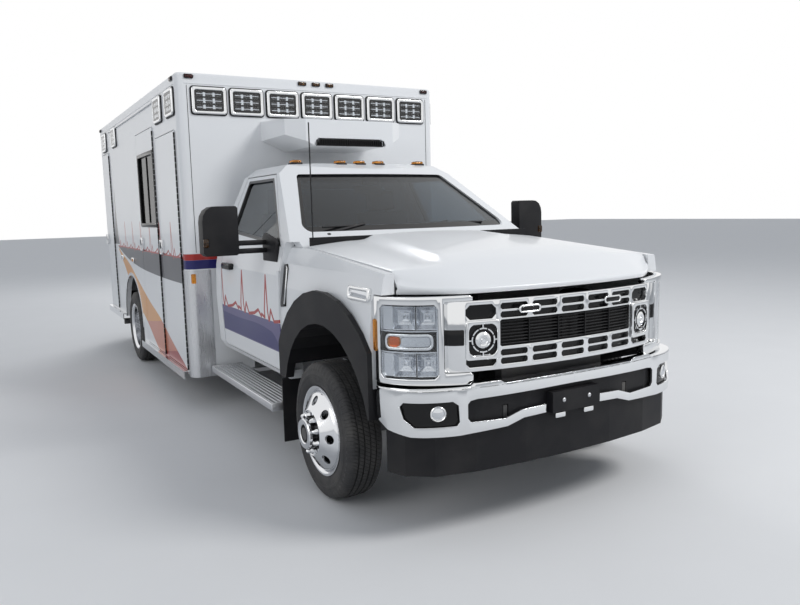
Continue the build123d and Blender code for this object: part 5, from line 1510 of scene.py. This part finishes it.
# %% [markdown]
# Outside doors hang on full-length piano hinges. The hinge could be one long rod, but its knuckles show as
# a fine row of joints, so one short knuckle is turned and an array modifier repeats it along the door's
# edge.

# %% Piano hinges
SIDE_LEAVES = (("curb_front_door", -1, 2.420, 3.200, 0.330, 2.360),
               ("side_entry_door", -1, 3.290, 4.150, 0.330, 2.480),
               ("curb_rear_door", -1, 5.950, 6.500, 0.500, 2.450),
               ("street_front_door", 1, 2.420, 3.200, 0.330, 2.360),
               ("street_mid_door", 1, 3.290, 4.280, 0.330, 1.500),
               ("street_rear_door", 1, 5.640, 6.500, 0.500, 2.360))
REAR_LEAVES = (("rear_door_left", 1), ("rear_door_right", -1))
HINGE_AXIS = 0.0065
KNUCKLE_PITCH = 0.05
KNUCKLE = [(0.0, 0.0), (0.0, 0.0072), (KNUCKLE_PITCH - 0.0035, 0.0072), (KNUCKLE_PITCH - 0.0035, 0.0)]


def piano_hinge(name, x, station, low, high):
    knuckle = lathe(name, KNUCKLE, at(x, station, low), 12, "z")
    count = int((high - low) / KNUCKLE_PITCH)
    return use(knuckle, "ARRAY", count=count, use_relative_offset=False, use_constant_offset=True,
               constant_offset_displace=(0, 0, KNUCKLE_PITCH))


for leaf, sign, low, high, bottom, top in SIDE_LEAVES:
    hinge = piano_hinge("hinge_" + leaf, sign * (BODY_HALF + HINGE_AXIS), low, bottom + 0.01, top - 0.01)
    done(hinge, "gloss_black", leaf)
for leaf, sign in REAR_LEAVES:
    hinge = piano_hinge("hinge_" + leaf, sign * 0.760, BODY_REAR + HINGE_AXIS, 0.800, 2.410)
    done(hinge, "stainless", leaf)

# %% [markdown]
# Each door opens by a paddle in a cast frame with a lock below. A handle rides on its own door, so they
# can't be joined into one piece: one is modelled facing the front, and a copy goes to every door.

# %% Handles
HANDLE_HEIGHT = 1.370
case = plate("case", rounded(0.086, 0.136, 0.014), "y", -0.031, 0.0)
cut(case, plate("dish", rounded(0.062, 0.108, 0.012), "y", -0.05, -0.015))
ease(case, 0.004, 2)
paddle = ease(plate("paddle", rounded(0.056, 0.066, 0.008, 4, (0, 0.016)), "y", -0.028, -0.014), 0.004, 2)
LOCK = [(-0.024, 0.0), (-0.024, 0.004), (-0.0235, 0.009), (-0.014, 0.010), (-0.014, 0.0)]
lock = lathe("lock", LOCK, (0, 0, -0.037), 24, "y")
leaves = [leaf for leaf, *sizes in SIDE_LEAVES + REAR_LEAVES]
places = []
for leaf, sign, low, high, bottom, top in SIDE_LEAVES:
    places.append((at(sign * BODY_HALF, high - 0.075, HANDLE_HEIGHT), 90 * sign))
places += [(at(sign * 0.085, BODY_REAR, HANDLE_HEIGHT), 180) for leaf, sign in REAR_LEAVES]
for kind, master, finish in (("frame", case, "chrome"),
                             ("paddle", joined([paddle, lock], "paddle"), "gloss_black")):
    for leaf, copy in zip(leaves, copies_of(master, places)):
        copy.name = "handle_%s_%s" % (kind, leaf)
        done(copy, finish, leaf, angle=40)
print(len(leaves), "doors have hinges and handles")

# %% [markdown]
# Rails dress the body: a drip rail over the doors, a bead under the roof band and a seam beside each corner
# post. They could be lines in the paint, but rails cast a shadow, so each is a thin bar.

# %% Rails and seams
drip = slab("drip_rails", at(BODY_HALF - 0.002, 3.220, 2.672), at(BODY_HALF + 0.016, 5.850, 2.690))
done_pair(ease(drip, 0.004, 2), "aluminium")
bead = both_sides(slab("bead", at(BODY_HALF - 0.003, 2.360, 2.712), at(BODY_HALF + 0.004, 6.540, 2.722)))
front_bead = slab("front_bead", at(-1.150, 2.286, 2.712), at(1.150, 2.293, 2.722))
done(ease(joined([bead, front_bead], "roof_beads"), 0.0015, 1), "white_paint")
done_pair(slab("front_seams", at(1.130, 2.2885, 1.345), at(1.134, 2.292, 2.700)), "gloss_black")

# %% [markdown]
# Black frames hold the windows of the side entry and of the rear doors. A bevel on the pane would give no
# separate finish, so each frame is a rounded plate with its window cut out, and it rides on its door.

# %% Window frames
SIDE_WINDOW = (3.715, 1.910)
side_frame = side_plate("side_window_frame", rounded(0.776, 0.726, 0.035, 6, SIDE_WINDOW), -1.229, -1.206)
cut(side_frame, side_plate("hole", rounded(0.700, 0.650, 0.025, 6, SIDE_WINDOW), -1.3, -1.0))
ease(side_frame, 0.004, 2)
divider = slab("divider", at(-1.216, 3.705, 1.590), at(-1.206, 3.725, 2.230))
done(joined([side_frame, divider], "side_window_frame"), "gloss_black", "side_entry_door")
for side, sign in SIDES:
    middle = (sign * 0.375, 1.860)
    border = plate("rear_window_frame_" + side, rounded(0.540, 0.650, 0.045, 6, middle), "y",
                   6.603 + STATION, 6.618 + STATION)
    cut(border, plate("hole", rounded(0.476, 0.586, 0.030, 6, middle), "y", 3.0, 4.0))
    done(ease(border, 0.004, 2), "gloss_black", "rear_door_" + side)

# %% [markdown]
# Two small lamps stand over each wheel arch, amber before and clear behind. The condenser's air slot is a
# dark plate with fins; the plate is painted shade where the open slot would be dark inside. Its holes could
# be cut through the housing, but fins before this painted shade read as deep and cost less.

# %% Arch lamps and condenser slot
ARCH_LAMP_HEIGHT = 1.172
for station, finish in ((4.747, "amber_lens"), (5.426, "clear_lens")):
    middle = (station, ARCH_LAMP_HEIGHT)
    number = 1000 * station
    outline = rounded(0.120, 0.056, 0.020, 5, middle)
    holder = side_plate("arch_lamp_frames_%d" % number, outline, 1.215, 1.233)
    done_pair(ease(holder, 0.005, 2), "chrome")
    outline = rounded(0.094, 0.034, 0.015, 5, middle)
    light = side_plate("arch_lamp_lights_%d" % number, outline, 1.230, 1.240)
    done_pair(ease(light, 0.004, 2), finish)
FINS = 31
SLOT_OUTLINE = [(-0.300, 2.180), (0.300, 2.180), (0.270, 2.236), (-0.270, 2.236)]
# The slot's black plate is painted shade behind the fins.
slot = plate("condenser_slot", SLOT_OUTLINE, "y", 1.626 + STATION, 1.640 + STATION)
fins = [slab("fin", at(-0.30 + 0.02 * i, 1.612, 2.186),
             at(-0.297 + 0.02 * i, 1.630, 2.228)) for i in range(FINS)]
done(joined([slot] + fins, "condenser_slot"), "gloss_black")

# %% [markdown]
# The tail lamps are three frames a side, red over amber over clear. Small markers line the roof. All are a
# lens in a frame, so one function lays both out facing the front and turns copies to their wall, where each
# lamp by itself would repeat the same steps.

# %% Tail lamps and roof markers
def lamp_unit(kind, size, frame_finish, lens_finish, rim, depth, places):
    """A framed lamp: one mesh of frames and one of lenses, with a copy at every place."""
    wide, tall = size
    holder = plate("frame", rounded(wide, tall, 0.3 * tall), "y", -depth, 0.0)
    lens = plate("lens", rounded(wide - 2 * rim, tall - 2 * rim, 0.25 * tall), "y", -depth - 0.004,
                 -depth + 0.004)
    ease(holder, min(0.005, depth / 3), 2)
    ease(lens, 0.003, 2)
    for master, part, finish in ((holder, "frames", frame_finish), (lens, "lenses", lens_finish)):
        done(joined(copies_of(master, places), kind + "_" + part), finish, angle=40)


for height, colour in ((1.300, "red"), (1.150, "amber"), (1.000, "clear")):
    places = [(at(x, BODY_REAR, height), 180) for x in (-1.03, 1.03)]
    lamp_unit("tail_lamp_" + colour, (0.150, 0.120), "chrome", colour + "_lens", 0.016, 0.024, places)
MARKER_SIZE = (0.078, 0.036)
MARKER_HEIGHT = 2.770
amber = [(at(x, BODY_FRONT, MARKER_HEIGHT), 0) for x in (-0.13, 0.0, 0.13)]
red = [(at(x, BODY_FRONT, MARKER_HEIGHT), 0) for x in (-1.112, 1.112)]
red += [(at(x, BODY_REAR, MARKER_HEIGHT), 180) for x in (-1.112, -0.13, 0, 0.13, 1.112)]
red += [(at(sign * BODY_HALF, station, 2.762), 90 * sign) for sign in (-1, 1) for station in (2.42, 6.48)]
for colour, places in (("amber", amber), ("red", red)):
    lamp_unit("roof_marker_" + colour, MARKER_SIZE, "gloss_black", colour + "_lens", 0.006, 0.014, places)

# %% [markdown]
# Five amber markers stand along the cab's roof, each a swelling lens on a low black base. A sphere cut in
# half would be too round, so a block is eased until it is nearly a cushion.

# %% Cab markers
pods = []
lenses = []
for x in (-0.543, -0.170, 0.0, 0.170, 0.543):
    pods.append(ease(slab("pod", at(x - 0.042, 1.440, 2.016), at(x + 0.042, 1.535, 2.034)), 0.006, 2))
    lenses.append(ease(slab("lens", at(x - 0.036, 1.446, 2.028), at(x + 0.036, 1.528, 2.054)), 0.011, 4))
done(joined(pods, "cab_marker_bases"), "black_plastic")
done(joined(lenses, "cab_marker_lenses"), "amber_lens", replaces=["marker_lamps"])

# %% [markdown]
# Black grips on the cab doors and wipers parked on the glass are small, and they are what the eye meets
# close by. A wiper could be one bent plate, but blade, arm and cap have three sections, so they are three
# rods and turnings in one mesh.

# %% Grips and wipers
def tube(name, points, radius, sides=12):
    """A round rod that runs straight from point to point."""
    data = bpy.data.curves.new(name, "CURVE")
    data.dimensions = "3D"
    data.bevel_depth = radius
    data.bevel_resolution = max(1, sides // 4 - 1)
    data.use_fill_caps = True
    spline = data.splines.new("POLY")
    spline.points.add(len(points) - 1)
    for knot, point in zip(spline.points, points):
        knot.co = (*point, 1)
    rod = bpy.data.objects.new(name, data)
    bpy.context.scene.collection.objects.link(rod)
    hold(rod)
    bpy.ops.object.convert(target="MESH")
    turned_out(rod)
    return rod


grip = ease(side_plate("cab_grip_left", rounded(0.215, 0.050, 0.022, 6, (1.800, 1.255)), 1.000, 1.042),
            0.010, 3)
done(mirrored(grip, "cab_grip_right"), "gloss_black", "cab_door_right")
done(grip, "gloss_black", "cab_door_left")
WIPER_CAP = [(1.495, 0.0), (1.495, 0.018), (1.512, 0.016), (1.518, 0.008), (1.519, 0.0)]
wipers = []
for start, end in ((-0.700, -0.080), (-0.030, 0.600)):
    middle = (start + end) / 2
    edge = [at(start, 0.664, 1.557), at(middle, 0.668, 1.560), at(end, 0.664, 1.557)]
    wipers.append(tube("blade", edge, 0.0075, 8))
    pivot = start + 0.02
    reach = [at(pivot, 0.610, 1.505), at(start + 0.10, 0.628, 1.532), at(middle, 0.655, 1.570)]
    wipers.append(tube("arm", reach, 0.008, 8))
    wipers.append(lathe("cap", WIPER_CAP, at(pivot, 0.606, 0.0), 20, "z"))
done(joined(wipers, "wipers"), "black_plastic")

# %% [markdown]
# Running boards have extruded ribs with a rounded nose and end caps, and the rear step has a grip of open
# bars. A bump would lose the ribs' edges against the light, so they are bars set side by side.

# %% Treads
RIBS = 8
RIB_PITCH = 0.030
STEP_BARS = 49
BAR_PITCH = 0.0404
ribs = [slab("rib", at(0.822 + RIB_PITCH * i, 0.800, 0.376),
             at(0.834 + RIB_PITCH * i, 2.240, 0.383)) for i in range(RIBS)]
ribs.append(ease(slab("nose", at(1.052, 0.792, 0.336), at(1.066, 2.248, 0.384)), 0.006, 3))
for station in (0.786, 2.240):
    ribs.append(ease(slab("cap", at(0.800, station, 0.328), at(1.066, station + 0.014, 0.386)), 0.004, 2))
done_pair(joined(ribs, "running_board_treads"), "aluminium")
bars = [slab("bar", at(-0.985 + BAR_PITCH * i, 6.640, 0.499),
             at(-0.967 + BAR_PITCH * i, 6.815, 0.505)) for i in range(STEP_BARS)]
bars.append(ease(slab("edge", at(-1.004, 6.826, 0.436), at(1.004, 6.842, 0.506)), 0.006, 3))
done(joined(bars, "rear_step_grip"), "aluminium")

# %% [markdown]
# Cushions are foam under a sewn cover. A cloth simulation could fill them, but takes long for so plain a
# shape. So each starts as its side profile, is rounded, cut into a fine net and filled out: the middle
# swells, and a seam pulls in beside each bolster.

# %% Cushion shape
SEAM_PLACE = 0.62
SEAM_WIDTH = 0.05
NET_STEP = 0.03


def cushion(name, profile, x, half, axis, way, swell, seam):
    """One stuffed piece: its side profile, the way it faces, its swell and the depth of its seams."""
    piece = side_plate(name, profile, x - half, x + half)
    ease(piece, 0.030, 4, 50)
    slice_along(piece, "x", 0.02, x - half + 0.02, x + half)
    other = "y" if axis == "z" else "z"
    values = [getattr(v.co, other) for v in piece.data.vertices]
    low, high = min(values), max(values)
    slice_along(piece, other, NET_STEP, low + NET_STEP, high)
    for vertex in piece.data.vertices:
        facing_out = way * getattr(vertex.normal, axis)
        if facing_out < 0.3:
            continue
        across = (vertex.co.x - x) / half
        along = (2 * getattr(vertex.co, other) - low - high) / (high - low)
        push = swell * (1 - across * across) * (1 - along * along)
        push -= seam * math.exp(-((abs(across) - SEAM_PLACE) / SEAM_WIDTH) ** 2) * (1 - along ** 6)
        setattr(vertex.co, axis, getattr(vertex.co, axis) + way * push * min(1.0, facing_out))
    piece.data.update()
    return done(piece, "seat_vinyl", angle=60)


print("seams lie at", SEAM_PLACE, "of the half width")

# %% [markdown]
# The cab has two seats on dark bases, with head rests on steel posts, and the patient room has a bench
# along its curb side. Seat and back could be one piece, but they are sewn and stuffed apart, so they meet
# in a crease.

# %% Cushions
SEAT_PLACE = 0.430
CUSHION_SIDE = [(1.200, 0.962), (1.200, 1.075), (1.700, 1.060), (1.700, 0.944)]
BACK_SIDE = [(1.712, 0.972), (1.848, 0.966), (1.978, 1.640), (1.884, 1.648)]
REST_SIDE = [(1.892, 1.662), (1.978, 1.654), (2.006, 1.828), (1.922, 1.834)]
BENCH_SIDE = [(4.332, 1.252), (4.332, 1.328), (5.838, 1.328), (5.838, 1.252)]
BASE_SIDE = [(1.260, 0.790), (1.260, 0.950), (1.660, 0.936), (1.850, 0.958), (1.850, 0.790)]
for side, sign in SIDES:
    x = sign * SEAT_PLACE
    cushion("seat_cushion_" + side, CUSHION_SIDE, x, 0.250, "z", 1, 0.022, 0.010)
    cushion("seat_back_" + side, BACK_SIDE, x, 0.240, "y", -1, 0.020, 0.010)
    cushion("head_rest_" + side, REST_SIDE, x, 0.130, "y", -1, 0.012, 0.0)
    base = ease(side_plate("base", BASE_SIDE, x - 0.200, x + 0.200), 0.012, 2)
    parts = [base]
    for post_x in (x - 0.05, x + 0.05):
        parts.append(tube("post", [at(post_x, 1.930, 1.600), at(post_x, 1.942, 1.700)], 0.007, 10))
    done(joined(parts, "seat_base_" + side), "interior_dark")
cushion("bench_cushion", BENCH_SIDE, -0.885, 0.245, "z", 1, 0.014, 0.006)
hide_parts("seats")

# %% [markdown]
# The steering wheel is a thick rim with a padded hub and three spokes. The rim could be spun like the
# tyres, but a torus is that shape already. The wheel is built flat and then raked to the column.

# %% Steering wheel
HUB = [(-0.028, 0.0), (-0.028, 0.060), (0.020, 0.072), (0.032, 0.060), (0.038, 0.030), (0.040, 0.0)]
COLUMN_RAKE = -62
clear_selection()
bpy.ops.mesh.primitive_torus_add(major_radius=0.191, minor_radius=0.0195, major_segments=64,
                                 minor_segments=16)
rim = bpy.context.object
hub = lathe("hub", HUB, (0, 0, 0), 40, "z")
cross_spoke = ease(slab("spoke", (-0.185, -0.023, -0.010), (0.185, 0.023, 0.016)), 0.008, 2)
low_spoke = ease(slab("spoke", (-0.022, -0.185, -0.010), (0.022, 0.0, 0.014)), 0.008, 2)
steering = joined([rim, hub, cross_spoke, low_spoke], "steering_wheel")
steering.rotation_euler = (math.radians(COLUMN_RAKE), 0, 0)
steering.location = at(0.430, 1.130, 1.290)
settle(steering)
done(steering, "interior_dark", angle=50)

# %% [markdown]
# The inner mirror hangs below its sensor pod behind the top of the windscreen. Both are eased blocks: from
# outside only their outline shows through the tinted glass, so more detail would be lost.

# %% Inner mirror
pod = ease(slab("pod", at(-0.065, 1.270, 1.850), at(0.065, 1.340, 1.925)), 0.014, 3)
inner_glass = ease(slab("inner_mirror", at(-0.125, 1.345, 1.790), at(0.125, 1.362, 1.850)), 0.012, 3)
done(joined([pod, inner_glass], "inner_mirror"), "black_plastic")

# %% [markdown]
# The floor belongs to the studio and not to the vehicle. A small one could curve up behind the vehicle,
# but would show its edges from other sides, so a flat one runs out to the horizon. Its tone is very slightly
# uneven, as a real floor's is.

# %% Floor
FLOOR_SIZE = 120
clear_selection()
bpy.ops.mesh.primitive_plane_add(size=FLOOR_SIZE, location=(0, 0, 0))
floor = bpy.context.object
floor.name = "studio_floor"
floor_paint = Recipe("floor_paint", Roughness=0.75)
floor_shade = floor_paint.blend(floor_paint.noise(2.0, 3.0), (0.80, 0.80, 0.80), (0.83, 0.83, 0.83))
floor_paint.set(floor_paint.shader, {"Base_Color": floor_shade})
floor.data.materials.append(floor_paint.material)
